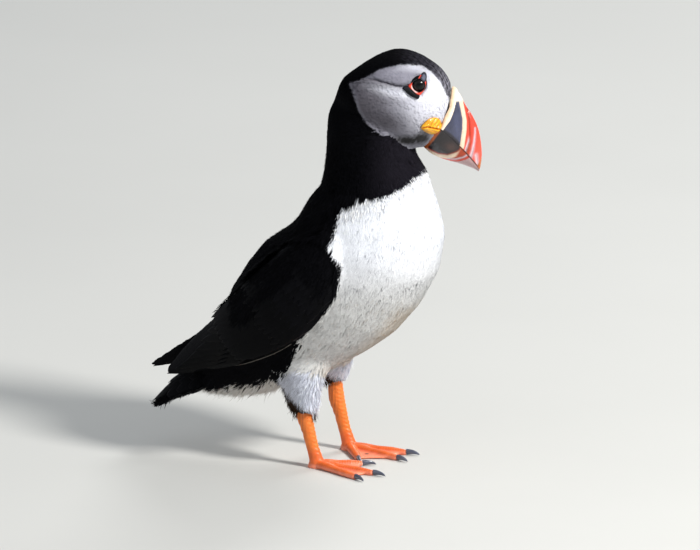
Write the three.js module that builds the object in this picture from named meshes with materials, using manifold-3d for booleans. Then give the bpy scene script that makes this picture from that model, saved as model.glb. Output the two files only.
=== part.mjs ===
// An adult Atlantic puffin in breeding plumage, standing still with its head turned to its left.
// Millimetres. +X is the way the body faces, +Y is the bird's left, +Z is up, and the floor is z = 0.
// The solids reach out to the tips of the feathers. The flesh is lofted in one piece and thin cuts part it
// into neck, trunk and rump; wherever one solid sits in another, the other has a pocket GAP larger.
import * as THREE from "three";
import { mergeVertices } from "three/addons/utils/BufferGeometryUtils.js";
import Module from "manifold-3d";

const wasm = await Module();
wasm.setup();

const GAP = 0.3; // between neighbouring solids
const FAR = 400; // larger than the bird
const SIDES = { right: -1, left: 1 }; // the sign of y on each side

// ---- Driving dimensions ----

// Trunk and neck, from the tail's root up into the head. at: the section's middle [x, z]. back and front:
// how far it reaches to the spine's side and to the belly's side. wide: its half-width.
const SPINE = [
  { at: [-76, 38], back: 5, front: 4, wide: 8 },
  { at: [-68, 44], back: 12, front: 12, wide: 16 },
  { at: [-51, 57], back: 22, front: 25, wide: 26 },
  { at: [-31, 76], back: 35, front: 36, wide: 36 },
  { at: [-9, 96], back: 41.5, front: 44, wide: 42 },
  { at: [10, 117], back: 36.5, front: 48.5, wide: 43.5 },
  { at: [23, 139], back: 36.8, front: 47, wide: 41 },
  { at: [27, 157], back: 34, front: 35.5, wide: 34 },
  { at: [25, 174], back: 27, front: 27, wide: 26 },
  { at: [23, 187], back: 23.5, front: 24.5, wide: 22.5 },
  { at: [25, 200], back: 25, front: 22, wide: 20 },
  { at: [32, 213], back: 23, front: 18, wide: 16 },
];
const BODY_ROUNDNESS = 2.15; // superellipse power of the trunk's sections
const NECK_FROM = { at: [26, 0, 165], along: [0.05, 0, 1] }; // where the neck begins
const RUMP_FROM = { at: [-45, 0, 63], along: [-0.75, 0, -0.66] };

// Head, in its own frame: x forward, z up. Stations along x, with the top, the bottom and the half-width.
const HEAD = {
  at: [37.6, 0, 213.5],
  turn: 20, // to the left, in degrees
  pitch: 25.3, // downward
  stations: [
    { x: -30.5, top: 0, bottom: -8, wide: 3 },
    { x: -29, top: 2.5, bottom: -12, wide: 8 },
    { x: -24, top: 11.5, bottom: -16, wide: 14.5 },
    { x: -18, top: 20.5, bottom: -18.5, wide: 18 },
    { x: -9, top: 28.8, bottom: -20, wide: 20.5 },
    { x: 1, top: 30.8, bottom: -20.5, wide: 21.5 },
    { x: 11, top: 30.2, bottom: -20.8, wide: 20.5 },
    { x: 19, top: 28, bottom: -20.5, wide: 17 },
    { x: 25, top: 24, bottom: -19, wide: 12.5 },
    { x: 29, top: 21.3, bottom: -17.5, wide: 9.6 },
    { x: 33, top: 19, bottom: -16.5, wide: 8.4 },
  ],
};

// Bill, in the head's frame.
const BILL = {
  stations: [
    { x: 26, top: 22, bottom: -16.5, gape: -1, wide: 9 },
    { x: 33, top: 19.4, bottom: -18.6, gape: -2.6, wide: 8.4 },
    { x: 39, top: 14.8, bottom: -18.8, gape: -4.2, wide: 7.2 },
    { x: 45, top: 11, bottom: -18, gape: -6.7, wide: 5.9 },
    { x: 51, top: 5.8, bottom: -17, gape: -9.4, wide: 4.5 },
    { x: 56, top: -0.8, bottom: -16.5, gape: -11.8, wide: 3.3 },
    { x: 60, top: -8, bottom: -16.4, gape: -13.9, wide: 2.2 },
    { x: 62.2, top: -14.6, bottom: -16.8, gape: -15.6, wide: 1 },
  ],
  sharpness: 1.55, // superellipse power: below 2 makes a ridge of the culmen
  edge: { apex: 30.9, radius: 55.5, height: 0 }, // the feathers end along this arc
  cere: { long: 3.2, proud: 0.8 },
};

// Eye, its red ring and its two horny plates, on the head's side. at: [x, z] in the head's frame.
const EYE = { at: [8.1, 17.2], radius: 5, proud: 1.4 };
const EYE_RING = { reach: 3.9, corner: 0.55, firstCorner: 75, tube: 0.55, proud: 0.9 };
const SOCKET = 0.6; // how much larger a pocket in the face is than what sits in it
const PLATES = {
  upper: { at: [9.1, 24.3], size: [1.6, 2.3], lean: -24, deep: 1.3 },
  lower: { at: [5.1, 11.6], size: [5.4, 1.7], lean: -10, deep: 1.5 },
};
const ROSETTE = { at: [25.2, -2.6], size: [5.7, 4.3], lean: 22, deep: 2.6 };

// Folded wings, each a blade bent round the body, for y > 0. line: the blade's middle, from the shoulder
// back. up and down: how far it reaches towards the spine and the belly. thick: its depth. lean: how far its
// face turns up towards the back, in degrees.
const WING = {
  line: [
    [15, 40, 139],
    [1, 44.5, 120],
    [-20, 43, 97],
    [-45, 34, 77],
    [-70, 21, 61],
  ],
  tips: { right: [-94, 14, 46], left: [-107.5, -3, 46] },
  blade: [
    { up: 5, down: 6, thick: 3, lean: 10 },
    { up: 20, down: 21, thick: 8, lean: 14 },
    { up: 25, down: 24, thick: 9, lean: 18 },
    { up: 24, down: 19, thick: 8, lean: 26 },
    { up: 18, down: 11, thick: 6, lean: 36 },
    { up: 3, down: 2.5, thick: 2, lean: 40 },
  ],
  bend: 48, // radius of the blade across
};

// Tail: an arched fan. at: the middle of each section [x, z]. fall: how far its sides hang below its middle.
const TAIL = [
  { at: [-62, 48], wide: 13, high: 6, fall: 3 },
  { at: [-76, 43.5], wide: 15, high: 5.5, fall: 6 },
  { at: [-90, 37], wide: 12, high: 4.8, fall: 5 },
  { at: [-101, 28], wide: 7, high: 2.9, fall: 2 },
  { at: [-107.5, 22.8], wide: 2.4, high: 1.2, fall: 0.4 },
];

// Legs, for y > 0. The thigh is feathered, lower down on the right, and the shank is bare. The left leg
// stands a little ahead of the right one.
const THIGH = {
  right: [
    { at: [-8, 12, 72], long: 16, wide: 12 },
    { at: [-10, 20, 53], long: 14.2, wide: 12.3 },
    { at: [-8.7, 22, 43], long: 10.6, wide: 9 },
    { at: [-7.6, 22, 35], long: 8, wide: 6.8 },
    { at: [-7, 22, 29.5], long: 5.2, wide: 4.6 },
  ],
  left: [
    { at: [-6, 12, 72], long: 16, wide: 12 },
    { at: [-6.5, 20, 55], long: 13.5, wide: 11.8 },
    { at: [-5.5, 22, 47], long: 9.8, wide: 8.6 },
    { at: [-4.8, 22, 41.5], long: 7.4, wide: 6.6 },
    { at: [-4.4, 22, 37], long: 5.4, wide: 4.8 },
  ],
};
const STEP = { right: 0, left: 3.5 }; // x of each heel
const SHANK = [
  { at: [-8.6, 21.8, 50], long: 3.4, wide: 3 },
  { at: [-8.3, 22, 39], long: 4.2, wide: 3.6 },
  { at: [-7.2, 22, 28], long: 4.7, wide: 4 },
  { at: [-5.4, 22, 22.5], long: 4, wide: 3.1 },
  { at: [-3, 22, 13], long: 3.7, wide: 2.8 },
  { at: [-0.8, 22, 6.5], long: 4, wide: 3.2 },
  { at: [0.2, 22, 2.4], long: 4.3, wide: 4 },
];
const SHANK_CLEAR = 1; // the shank ends this far above the floor, inside the heel

// Feet. Toes fan out from the heel; outward is towards the bird's side, in degrees from the middle toe.
const FOOT = {
  stance: 22, // y of each heel
  turn: { right: -10, left: -22 }, // positive to the bird's left
  heel: { long: 5.6, wide: 4.6, high: 5.4 },
  toes: {
    inner: { outward: -36, long: 26, clawTurn: -4 },
    middle: { outward: 0, long: 37, clawTurn: 0 },
    outer: { outward: 21, long: 35, clawTurn: 4 },
  },
  // Half-widths of a toe, how much its joints stand out, and its half-height and middle as shares of them.
  toe: { root: 2.9, tip: 1.9, knuckle: 0.3, flat: 0.85, middle: 0.75 },
  // Webs, along and between the toes as shares of the toes' length.
  web: { thick: 1.1, low: 0.4, along: 0.92, between: 0.84 },
};
// Claws. tip: the point's height. arch: where they turn down, and how high. narrow: their width to height.
const CLAW = {
  long: 8,
  thick: 1.7,
  taper: 0.7,
  point: 0.12,
  narrow: 0.75,
  tip: 0.5,
  arch: { along: 0.7, rise: 1.35 },
};

// Colours of the outer surface.
const paint = (color, roughness) => new THREE.MeshStandardMaterial({ color, roughness, metalness: 0 });
const LOOKS = {
  black: paint("#131418", 0.75),
  white: paint("#e9e9ee", 0.9),
  face: paint("#d3d2dc", 0.9),
  bill: paint("#e84a30", 0.4),
  slate: paint("#34323a", 0.45),
  cream: paint("#f2e0c4", 0.5),
  yolk: paint("#eda81c", 0.5),
  red: paint("#d83c30", 0.5),
  plate: paint("#5d626e", 0.55),
  eye: paint("#120c0c", 0.08),
  leg: paint("#f07a2c", 0.55),
  web: paint("#fb7444", 0.5),
  claw: paint("#2c303a", 0.3),
};

// ---- Making solids ----

const vector = (...xyz) => new THREE.Vector3(...xyz);
const radians = THREE.MathUtils.degToRad;
const UP = vector(0, 0, 1);
const LEFT = vector(0, 1, 0);

/** A closed geometry as a solid. */
function solid(geometry) {
  const bare = geometry.clone();
  bare.deleteAttribute("normal");
  bare.deleteAttribute("uv");
  const merged = mergeVertices(bare, 1e-3);
  return new wasm.Manifold(
    new wasm.Mesh({
      numProp: 3,
      vertProperties: merged.attributes.position.array,
      triVerts: new Uint32Array(merged.index.array),
    }),
  );
}

/** A shape's largest body as a named mesh; the rest is slivers left by a cut. */
function meshOf(name, shape, material) {
  const body = shape.decompose().sort((a, b) => b.volume() - a.volume())[0];
  const { numProp, vertProperties, triVerts } = body.getMesh();
  const geometry = new THREE.BufferGeometry();
  const points = [];
  for (let i = 0; i < vertProperties.length; i += numProp) {
    points.push(vector(...vertProperties.subarray(i, i + 3)));
  }
  geometry.setFromPoints(points);
  geometry.setIndex(Array.from(triVerts));
  geometry.computeVertexNormals();
  const mesh = new THREE.Mesh(geometry, material);
  mesh.name = name;
  return mesh;
}

/** Skins a row of rings, each with as many points, and closes both ends, each moved outward by a margin. */
function loft(rings, margin = 0) {
  const around = rings[0].length;
  const middle = (ring) => ring.reduce((sum, point) => sum.add(point), vector()).divideScalar(around);
  for (const [end, next] of [[rings[0], rings[1]], [rings.at(-1), rings.at(-2)]]) {
    const outward = middle(end).sub(middle(next)).setLength(margin);
    end.forEach((point) => point.add(outward));
  }
  const points = [...rings.flat(), middle(rings[0]), middle(rings.at(-1))];
  const faces = [];
  const last = (rings.length - 1) * around;
  for (let j = 0; j < around; j++) {
    const next = (j + 1) % around;
    for (let row = 0; row < last; row += around) {
      faces.push([row + j, row + next, row + next + around]);
      faces.push([row + j, row + next + around, row + j + around]);
    }
    faces.push([last + around, next, j], [last + around + 1, last + j, last + next]);
  }
  const vertices = new THREE.BufferGeometry().setFromPoints(points);
  const skin = (order) => solid(vertices.clone().setIndex(faces.flatMap(order)));
  const outward = skin(([a, b, c]) => [a, b, c]);
  return outward.volume() > 0 ? outward : skin(([a, b, c]) => [a, c, b]);
}

/** A ring of points about a middle. side and high are unit directions; low is the reach against high. */
function ringAt(middle, { side, up, wide, high, low = high, power = 2 }, around) {
  return Array.from({ length: around }, (_, k) => {
    const angle = (2 * Math.PI * k) / around;
    const [s, c] = [Math.sin(angle), Math.cos(angle)];
    const across = Math.sign(s) * Math.abs(s) ** (2 / power) * wide;
    const along = Math.sign(c) * Math.abs(c) ** (2 / power) * (c > 0 ? high : low);
    return middle.clone().addScaledVector(side, across).addScaledVector(up, along);
  });
}

/** A smooth curve through three numbers of each station. */
const through = (stations, read) =>
  new THREE.CatmullRomCurve3(stations.map((station) => vector(...read(station))));

/** A straight prism with its outline, [x, z] pairs, in the plane of x and z. */
function prism(outline) {
  const shape = new THREE.Shape(outline.map(([x, z]) => new THREE.Vector2(x, z)));
  const made = new THREE.ExtrudeGeometry(shape, { depth: 2 * FAR, bevelEnabled: false });
  return solid(made.rotateX(Math.PI / 2).translate(0, FAR, 0));
}

/** Everything on the forward side of a plane, further than an offset. */
function beyond({ at, along }, offset) {
  const direction = vector(...along).normalize();
  const box = new THREE.BoxGeometry(2 * FAR, 2 * FAR, FAR).translate(0, 0, FAR / 2 + offset);
  box.applyQuaternion(new THREE.Quaternion().setFromUnitVectors(UP, direction));
  return solid(box.translate(...at));
}

/** A lens on the head's side: it faces outward there, turned by lean, in the head's frame for y > 0. */
function lens({ at: [x, z], size: [long, high], lean, deep }, margin = 0, around = 12) {
  const ball = new THREE.SphereGeometry(1, around, around / 2).rotateX(Math.PI / 2);
  ball.scale(long + margin, deep + margin, high + margin).rotateY(-radians(lean));
  ball.applyQuaternion(new THREE.Quaternion().setFromUnitVectors(LEFT, cheekNormal(x, z)));
  return solid(ball.translate(x, cheekAt(x, z), z));
}

const mirrored = (shape, sign) => (sign > 0 ? shape : shape.mirror([0, 1, 0]));

// ---- The bird ----

/** The trunk and neck in one piece, grown by a margin. */
function torso(margin, around = 22, steps = 19) {
  const line = through(SPINE, ({ at: [x, z] }) => [x, 0, z]);
  const reach = through(SPINE, ({ back, front, wide }) => [back, front, wide]);
  const rings = [];
  for (let i = 0; i <= steps; i++) {
    const along = line.getTangent(i / steps);
    const size = reach.getPoint(i / steps).addScalar(margin);
    const section = { side: LEFT, wide: size.z, high: size.x, low: size.y, power: BODY_ROUNDNESS };
    rings.push(ringAt(line.getPoint(i / steps), { ...section, up: vector(-along.z, 0, along.x) }, around));
  }
  return loft(rings, margin);
}

/** Puts a shape made in the head's frame in its place. */
const HEAD_PLACE = new THREE.Matrix4()
  .makeTranslation(...HEAD.at)
  .multiply(new THREE.Matrix4().makeRotationZ(radians(HEAD.turn)))
  .multiply(new THREE.Matrix4().makeRotationY(radians(HEAD.pitch)));
const onHead = (shape) => shape.transform(HEAD_PLACE.elements);

const headLine = through(HEAD.stations, ({ top, bottom, wide }) => [top, bottom, wide]);
const headX = through(HEAD.stations, ({ x }) => [x, 0, 0]);
const HEAD_ROUNDNESS = 2.15;

/** The head, in its own frame, grown by a margin. */
function head(margin = 0, around = 22, steps = 13) {
  const rings = [];
  for (let i = 0; i <= steps; i++) {
    const { x: top, y: bottom, z: wide } = headLine.getPoint(i / steps);
    const middle = vector(headX.getPoint(i / steps).x, 0, (top + bottom) / 2);
    const high = (top - bottom) / 2 + margin;
    const section = { side: LEFT, up: UP, wide: wide + margin, high, power: HEAD_ROUNDNESS };
    rings.push(ringAt(middle, section, around));
  }
  return loft(rings, margin);
}

/** The head's half-width at a place [x, z] of its side. */
function cheekAt(x, z) {
  const stations = HEAD.stations;
  const after = stations.findIndex((station) => station.x > x);
  const [a, b] = [stations[after - 1], stations[after]];
  const read = (key) => THREE.MathUtils.mapLinear(x, a.x, b.x, a[key], b[key]);
  const reach = (read("top") - read("bottom")) / 2;
  const lift = Math.abs(z - (read("top") + read("bottom")) / 2) / reach;
  return read("wide") * (1 - Math.min(lift, 1) ** HEAD_ROUNDNESS) ** (1 / HEAD_ROUNDNESS);
}

/** The outward direction there. */
function cheekNormal(x, z) {
  const step = 0.5;
  const slopeX = (cheekAt(x + step, z) - cheekAt(x - step, z)) / (2 * step);
  const slopeZ = (cheekAt(x, z + step) - cheekAt(x, z - step)) / (2 * step);
  return vector(-slopeX, 1, -slopeZ).normalize();
}

/** The bill in one piece, in the head's frame. */
function bill(margin = 0, around = 16, steps = 12) {
  const curve = through(BILL.stations, ({ top, bottom, gape }) => [top, bottom, gape]);
  const spread = through(BILL.stations, ({ x, wide }) => [x, wide, 0]);
  const rings = [];
  for (let i = 0; i <= steps; i++) {
    const { x: top, y: bottom, z: gape } = curve.getPoint(i / steps);
    const { x, y: wide } = spread.getPoint(i / steps);
    const section = { side: LEFT, up: UP, wide: wide + margin, power: BILL.sharpness };
    const reach = { high: top - gape + margin, low: gape - bottom + margin };
    rings.push(ringAt(vector(x, 0, gape), { ...section, ...reach }, around));
  }
  return loft(rings, margin);
}

/** Everything above the line where the mandibles meet, shifted up by an offset. */
function aboveGape(offset) {
  const line = BILL.stations.map(({ x, gape }) => [x, gape + offset]);
  const [first, last] = [line[0], line.at(-1)];
  return prism([[0, first[1]], ...line, [FAR, last[1]], [FAR, FAR], [0, FAR]]);
}

/** Everything behind the arc where the feathers end, moved forward by an offset. */
function behindEdge(offset) {
  const { apex, radius, height } = BILL.edge;
  const disc = new THREE.CylinderGeometry(radius + offset, radius + offset, 2 * FAR, 72);
  return solid(disc.translate(apex - radius, 0, height));
}

/** The eyeball, its centre sunk below the cheek. */
function eyeball(margin = 0, around = 14) {
  const [x, z] = EYE.at;
  const centre = vector(x, cheekAt(x, z), z).addScaledVector(cheekNormal(x, z), EYE.proud - EYE.radius);
  const ball = new THREE.SphereGeometry(EYE.radius + margin, around, around / 2 + 1);
  return solid(ball.translate(...centre));
}

/** The ring round the eye: a tube just clear of the cheek, with three blunt corners. */
function eyeRing() {
  const [x, z] = EYE.at;
  const points = Array.from({ length: 24 }, (_, k) => {
    const angle = (2 * Math.PI * k) / 24;
    const reach = EYE_RING.reach + EYE_RING.corner * Math.cos(3 * (angle - radians(EYE_RING.firstCorner)));
    const [px, pz] = [x + reach * Math.cos(angle), z + reach * Math.sin(angle)];
    return vector(px, cheekAt(px, pz) + EYE_RING.proud, pz);
  });
  const path = new THREE.CatmullRomCurve3(points, true);
  return solid(new THREE.TubeGeometry(path, 21, EYE_RING.tube, 6, true));
}

/** A folded wing on one side, grown by a margin. */
function wing(side, margin = 0, around = 12, steps = 14) {
  const points = [...WING.line, WING.tips[side]];
  const line = new THREE.CatmullRomCurve3(points.map((point) => vector(...point)));
  const reach = through(WING.blade, ({ up, down, thick }) => [up, down, thick]);
  const leaning = through(WING.blade, ({ lean }) => [radians(lean), 0, 0]);
  const rings = [];
  for (let i = 0; i <= steps; i++) {
    const along = line.getTangent(i / steps);
    const spineward = vector(along.z, 0, -along.x).normalize();
    const lean = leaning.getPoint(i / steps).x;
    const outward = LEFT.clone().multiplyScalar(Math.cos(lean)).addScaledVector(spineward, Math.sin(lean));
    const across = spineward.multiplyScalar(Math.cos(lean)).addScaledVector(LEFT, -Math.sin(lean));
    const { x: up, y: down, z: thick } = reach.getPoint(i / steps);
    const middle = line.getPoint(i / steps);
    rings.push(
      Array.from({ length: around }, (_, k) => {
        const angle = (2 * Math.PI * (k + 0.5)) / around; // the half step makes the edges blunt
        const reachAcross = (Math.cos(angle) > 0 ? up : down) + margin;
        const swing = (Math.cos(angle) * reachAcross) / WING.bend;
        const radius = WING.bend + Math.sin(angle) * (thick / 2 + margin);
        return middle
          .clone()
          .addScaledVector(across, radius * Math.sin(swing))
          .addScaledVector(outward, radius * Math.cos(swing) - WING.bend);
      }),
    );
  }
  return mirrored(loft(rings, margin), SIDES[side]);
}

/** The tail's fan. */
function tail(margin = 0, around = 16, steps = 9) {
  const line = through(TAIL, ({ at: [x, z] }) => [x, 0, z]);
  const reach = through(TAIL, ({ wide, high, fall }) => [wide, high, fall]);
  const rings = [];
  for (let i = 0; i <= steps; i++) {
    const along = line.getTangent(i / steps);
    const { x: wide, y: high, z: fall } = reach.getPoint(i / steps);
    const up = vector(along.z, 0, -along.x);
    const section = { side: LEFT, up, wide: wide + margin, high: high + margin };
    const flat = ringAt(line.getPoint(i / steps), section, around);
    rings.push(flat.map((point) => point.setZ(point.z - fall * (point.y / wide) ** 2)));
  }
  return loft(rings, margin);
}

/** A limb through level sections, for y > 0. */
function limb(stations, margin = 0, around = 12, steps = 9) {
  const line = through(stations, ({ at }) => at);
  const reach = through(stations, ({ long, wide }) => [long, wide, 0]);
  const rings = [];
  for (let i = 0; i <= steps; i++) {
    const { x: long, y: wide } = reach.getPoint(i / steps);
    const section = { side: LEFT, up: vector(1, 0, 0), wide: wide + margin, high: long + margin };
    rings.push(ringAt(line.getPoint(i / steps), section, around));
  }
  return loft(rings, margin);
}

/** Everything higher than a height. */
const aboveFloor = (height) => beyond({ at: [0, 0, 0], along: [0, 0, 1] }, height);

/** A toe's direction on the floor, for a foot whose middle toe points along +x. */
const toeward = ({ outward }) => vector(Math.cos(radians(outward)), Math.sin(radians(outward)), 0);

/** A toe along its direction, with knuckles, and a flat sole. */
function toe(shape, around = 8, joints = 2) {
  const direction = toeward(shape);
  const side = vector(-direction.y, direction.x, 0);
  const rings = [];
  const steps = 2 * joints;
  for (let i = 0; i <= steps; i++) {
    const share = i / steps;
    const { root, tip, knuckle, flat } = FOOT.toe;
    const girth = THREE.MathUtils.lerp(root, tip, share) + (i % 2 ? knuckle : 0);
    const middle = direction.clone().multiplyScalar(shape.long * share).setZ(girth * FOOT.toe.middle);
    rings.push(ringAt(middle, { side, up: UP, wide: girth, high: girth * flat }, around));
  }
  return loft(rings);
}

/** The web between two toes, its free edge curved inward. */
function web(a, b) {
  const { thick, low, along, between } = FOOT.web;
  const from = toeward(a).multiplyScalar(a.long * along);
  const to = toeward(b).multiplyScalar(b.long * along);
  const middle = from.clone().add(to).multiplyScalar(between / (2 * along));
  const edge = new THREE.QuadraticBezierCurve(
    new THREE.Vector2(from.x, from.y),
    new THREE.Vector2(middle.x, middle.y),
    new THREE.Vector2(to.x, to.y),
  );
  const shape = new THREE.Shape([new THREE.Vector2(0, 0), ...edge.getPoints(8)]);
  const slab = new THREE.ExtrudeGeometry(shape, { depth: thick, bevelEnabled: false });
  return solid(slab.translate(0, 0, low));
}

/** A foot for y > 0, its heel at the origin and its middle toe along +x. */
function foot() {
  const { inner, middle, outer } = FOOT.toes;
  const { long, wide, high } = FOOT.heel;
  const pad = solid(new THREE.SphereGeometry(1, 10, 6).rotateX(Math.PI / 2).scale(long, wide, high));
  const parts = [inner, middle, outer].map((shape) => toe(shape));
  const whole = [...parts, web(inner, middle), web(middle, outer)].reduce((sum, part) => sum.add(part), pad);
  return whole.intersect(aboveFloor(0));
}

/** A claw at a toe's end: a curved, pointed horn. */
function claw(shape, around = 8, steps = 5) {
  const turned = { outward: shape.outward + shape.clawTurn };
  const direction = toeward(turned);
  const side = vector(-direction.y, direction.x, 0);
  const root = toeward(shape).multiplyScalar(shape.long + GAP);
  const high = FOOT.toe.tip;
  const { long, thick, taper, point, narrow, tip, arch } = CLAW;
  const path = new THREE.QuadraticBezierCurve3(
    root.clone().setZ(high),
    root.clone().addScaledVector(direction, long * arch.along).setZ(high * arch.rise),
    root.clone().addScaledVector(direction, long).setZ(tip),
  );
  const rings = [];
  for (let i = 0; i <= steps; i++) {
    const share = i / steps;
    const girth = thick * (1 - share) ** taper + point;
    const along = path.getTangent(share);
    const up = along.clone().cross(side).negate();
    rings.push(ringAt(path.getPoint(share), { side, up, wide: girth * narrow, high: girth }, around));
  }
  return loft(rings);
}

/** Puts a foot's shape, made for y > 0, under a leg. */
function underLeg(shape, side) {
  const turned = mirrored(shape, SIDES[side]).rotate([0, 0, FOOT.turn[side]]);
  return turned.translate([STEP[side], SIDES[side] * FOOT.stance, 0]);
}

// ---- Assembly ----

const bird = new THREE.Group();
const add = (name, shape, look) => bird.add(meshOf(name, shape, LOOKS[look]));

const headWhole = onHead(head());
const headGrown = onHead(head(GAP));
const flesh = torso(0);
const wings = { right: wing("right"), left: wing("left") };
const wingsGrown = wing("right", GAP).add(wing("left", GAP));
const tailGrown = tail(GAP);

const edge = onHead(behindEdge(0));
const edgeCut = onHead(behindEdge(GAP));
const upperSide = onHead(aboveGape(GAP / 2));
const lowerSide = onHead(aboveGape(-GAP / 2));
const bills = onHead(bill()).subtract(edgeCut);
const cereBand = onHead(behindEdge(BILL.cere.long)).subtract(edgeCut);
const cereBandGrown = onHead(behindEdge(BILL.cere.long + GAP));
const cere = onHead(bill(BILL.cere.proud)).intersect(cereBand).intersect(upperSide);
const billGrown = onHead(bill(GAP)).subtract(edge);
const cereGrown = onHead(bill(BILL.cere.proud + GAP)).intersect(cereBandGrown).subtract(edge);

const bodyParts = flesh.subtract(headGrown).subtract(wingsGrown).subtract(tailGrown);
const neckCut = beyond(NECK_FROM, GAP);
const rumpCut = beyond(RUMP_FROM, GAP);
add("neck", bodyParts.intersect(neckCut), "black");
add("rump", bodyParts.intersect(rumpCut), "white");
add("trunk", bodyParts.subtract(beyond(NECK_FROM, 0)).subtract(beyond(RUMP_FROM, 0)), "white");
add("tail", tail(), "black");

const placedCheek = (shape, sign) => onHead(mirrored(shape, sign));
let face = headWhole.intersect(edge);
for (const [side, sign] of Object.entries(SIDES)) {
  const ball = placedCheek(eyeball(), sign);
  face = face.subtract(placedCheek(eyeball(SOCKET, 10), sign));
  add(`eye_${side}`, ball, "eye");
  add(`eye_ring_${side}`, placedCheek(eyeRing(), sign), "red");
  for (const [place, plate] of Object.entries(PLATES)) {
    add(`eye_plate_${place}_${side}`, placedCheek(lens(plate), sign), "plate");
    face = face.subtract(placedCheek(lens(plate, SOCKET, 8), sign));
  }
  const fold = placedCheek(lens(ROSETTE), sign);
  add(`rosette_${side}`, fold.subtract(billGrown).subtract(cereGrown), "yolk");
  face = face.subtract(placedCheek(lens(ROSETTE, SOCKET, 10), sign));
}
add("head", face, "face");
add("cere", cere, "cream");
add("bill_upper", bills.intersect(upperSide).subtract(cereBandGrown), "bill");
add("bill_lower", bills.subtract(lowerSide), "slate");

for (const [side, sign] of Object.entries(SIDES)) {
  add(`wing_${side}`, wings[side], "black");
  const shank = mirrored(limb(SHANK), sign).translate([STEP[side], 0, 0]);
  const shankGrown = mirrored(limb(SHANK, GAP), sign).translate([STEP[side], 0, 0]);
  const thigh = mirrored(limb(THIGH[side]), sign).subtract(torso(GAP)).subtract(shankGrown);
  add(`thigh_${side}`, thigh, "white");
  add(`shank_${side}`, shank.intersect(aboveFloor(SHANK_CLEAR)), "leg");
  add(`foot_${side}`, underLeg(foot(), side).subtract(shankGrown), "web");
  for (const [name, shape] of Object.entries(FOOT.toes)) {
    add(`claw_${name}_${side}`, underLeg(claw(shape), side), "claw");
  }
}

// The origin goes to the middle of the bounding box's underside.
const box = new THREE.Box3().setFromObject(bird);
const middle = box.getCenter(vector()).setZ(box.min.z);
bird.children.forEach((mesh) => mesh.geometry.translate(-middle.x, -middle.y, -middle.z));

export default bird;
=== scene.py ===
"""An adult Atlantic puffin, life size: one skin, feathers of solid mesh, and horn, eyes and claws apart.

Lengths are in millimetres in the bird's own frame (+X forward, +Y its left, z = 0 the floor, x = 0 at the right
heel) until a mesh is made: there they turn into metres of the row frame.
"""

import math

import bmesh
import bpy
import numpy as np
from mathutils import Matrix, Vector
from mathutils.bvhtree import BVHTree


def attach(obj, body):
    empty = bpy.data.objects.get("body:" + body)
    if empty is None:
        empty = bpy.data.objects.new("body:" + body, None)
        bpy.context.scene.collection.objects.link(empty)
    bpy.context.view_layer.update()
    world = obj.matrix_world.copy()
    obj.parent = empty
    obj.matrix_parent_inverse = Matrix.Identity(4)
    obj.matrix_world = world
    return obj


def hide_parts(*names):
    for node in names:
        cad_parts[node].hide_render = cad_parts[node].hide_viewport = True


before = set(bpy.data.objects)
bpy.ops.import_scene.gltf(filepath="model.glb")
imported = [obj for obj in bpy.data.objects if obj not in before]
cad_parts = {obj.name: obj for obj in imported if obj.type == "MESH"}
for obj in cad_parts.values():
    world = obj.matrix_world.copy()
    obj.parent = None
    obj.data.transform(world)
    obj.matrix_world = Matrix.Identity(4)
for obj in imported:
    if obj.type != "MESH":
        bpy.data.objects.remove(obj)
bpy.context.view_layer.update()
SIDES = {"right": -1, "left": 1}
rng = np.random.default_rng(7)

# ---- Where things are ----

SPINE = np.array([(-76, 38), (-68, 44), (-51, 57), (-31, 76), (-9, 96), (10, 117), (23, 139), (27, 157),
                  (25, 174), (23, 187), (25, 200), (32, 213)], float)
HEAD_AT, HEAD_TURN, HEAD_PITCH = np.array([37.6, 0, 213.5]), 20, 25.3
SHANK_FOOT = 0.2  # x of the shank's lowest section
STANCE, STEP = 22, 3.5  # y of each heel, and how far ahead the left one is
LEFT_HEM = 7.5  # how much higher on the leg the left thigh's feathers end


def gather(items, key, width, kind=float):
    """One property of all the items of a mesh, a row for each."""
    values = np.empty(len(items) * width, kind)
    items.foreach_get(key, values)
    return values.reshape(-1, width)


shank = gather(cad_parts["shank_right"].data.vertices, "co", 3) * 1000
low = shank[shank[:, 2] < shank[:, 2].min() + 0.05]
SHIFT = np.array([(low[:, 0].min() + low[:, 0].max()) / 2 - SHANK_FOOT, 0, 0])


def unit(v):
    return v / np.maximum(np.linalg.norm(v, axis=-1, keepdims=True), 1e-9)


def smooth(a, b, x):
    t = np.clip((np.asarray(x, float) - a) / (b - a), 0, 1)
    return t * t * (3 - 2 * t)


def mix(a, b, t):
    t = np.asarray(t, float)[..., None]
    return np.asarray(a, float) * (1 - t) + np.asarray(b, float) * t


def layered(colour, *layers):
    """A colour with others laid over it in turn, each with its weight."""
    for over, weight in layers:
        colour = mix(colour, over, weight)
    return colour


def srgb(*value):
    """Linear colour from 0 to 255 screen values."""
    v = np.array(value, float) / 255
    return np.where(v <= 0.04045, v / 12.92, ((v + 0.055) / 1.055) ** 2.4)


turn, pitch = math.radians(HEAD_TURN), math.radians(HEAD_PITCH)
HEAD_AXES = np.array([[math.cos(turn) * math.cos(pitch), math.sin(turn) * math.cos(pitch), -math.sin(pitch)],
                      [-math.sin(turn), math.cos(turn), 0],
                      [math.cos(turn) * math.sin(pitch), math.sin(turn) * math.sin(pitch), math.cos(pitch)]])


def to_head(p):
    return (p - HEAD_AT) @ HEAD_AXES.T


def from_head(q):
    return np.asarray(q, float) @ HEAD_AXES + HEAD_AT


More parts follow.
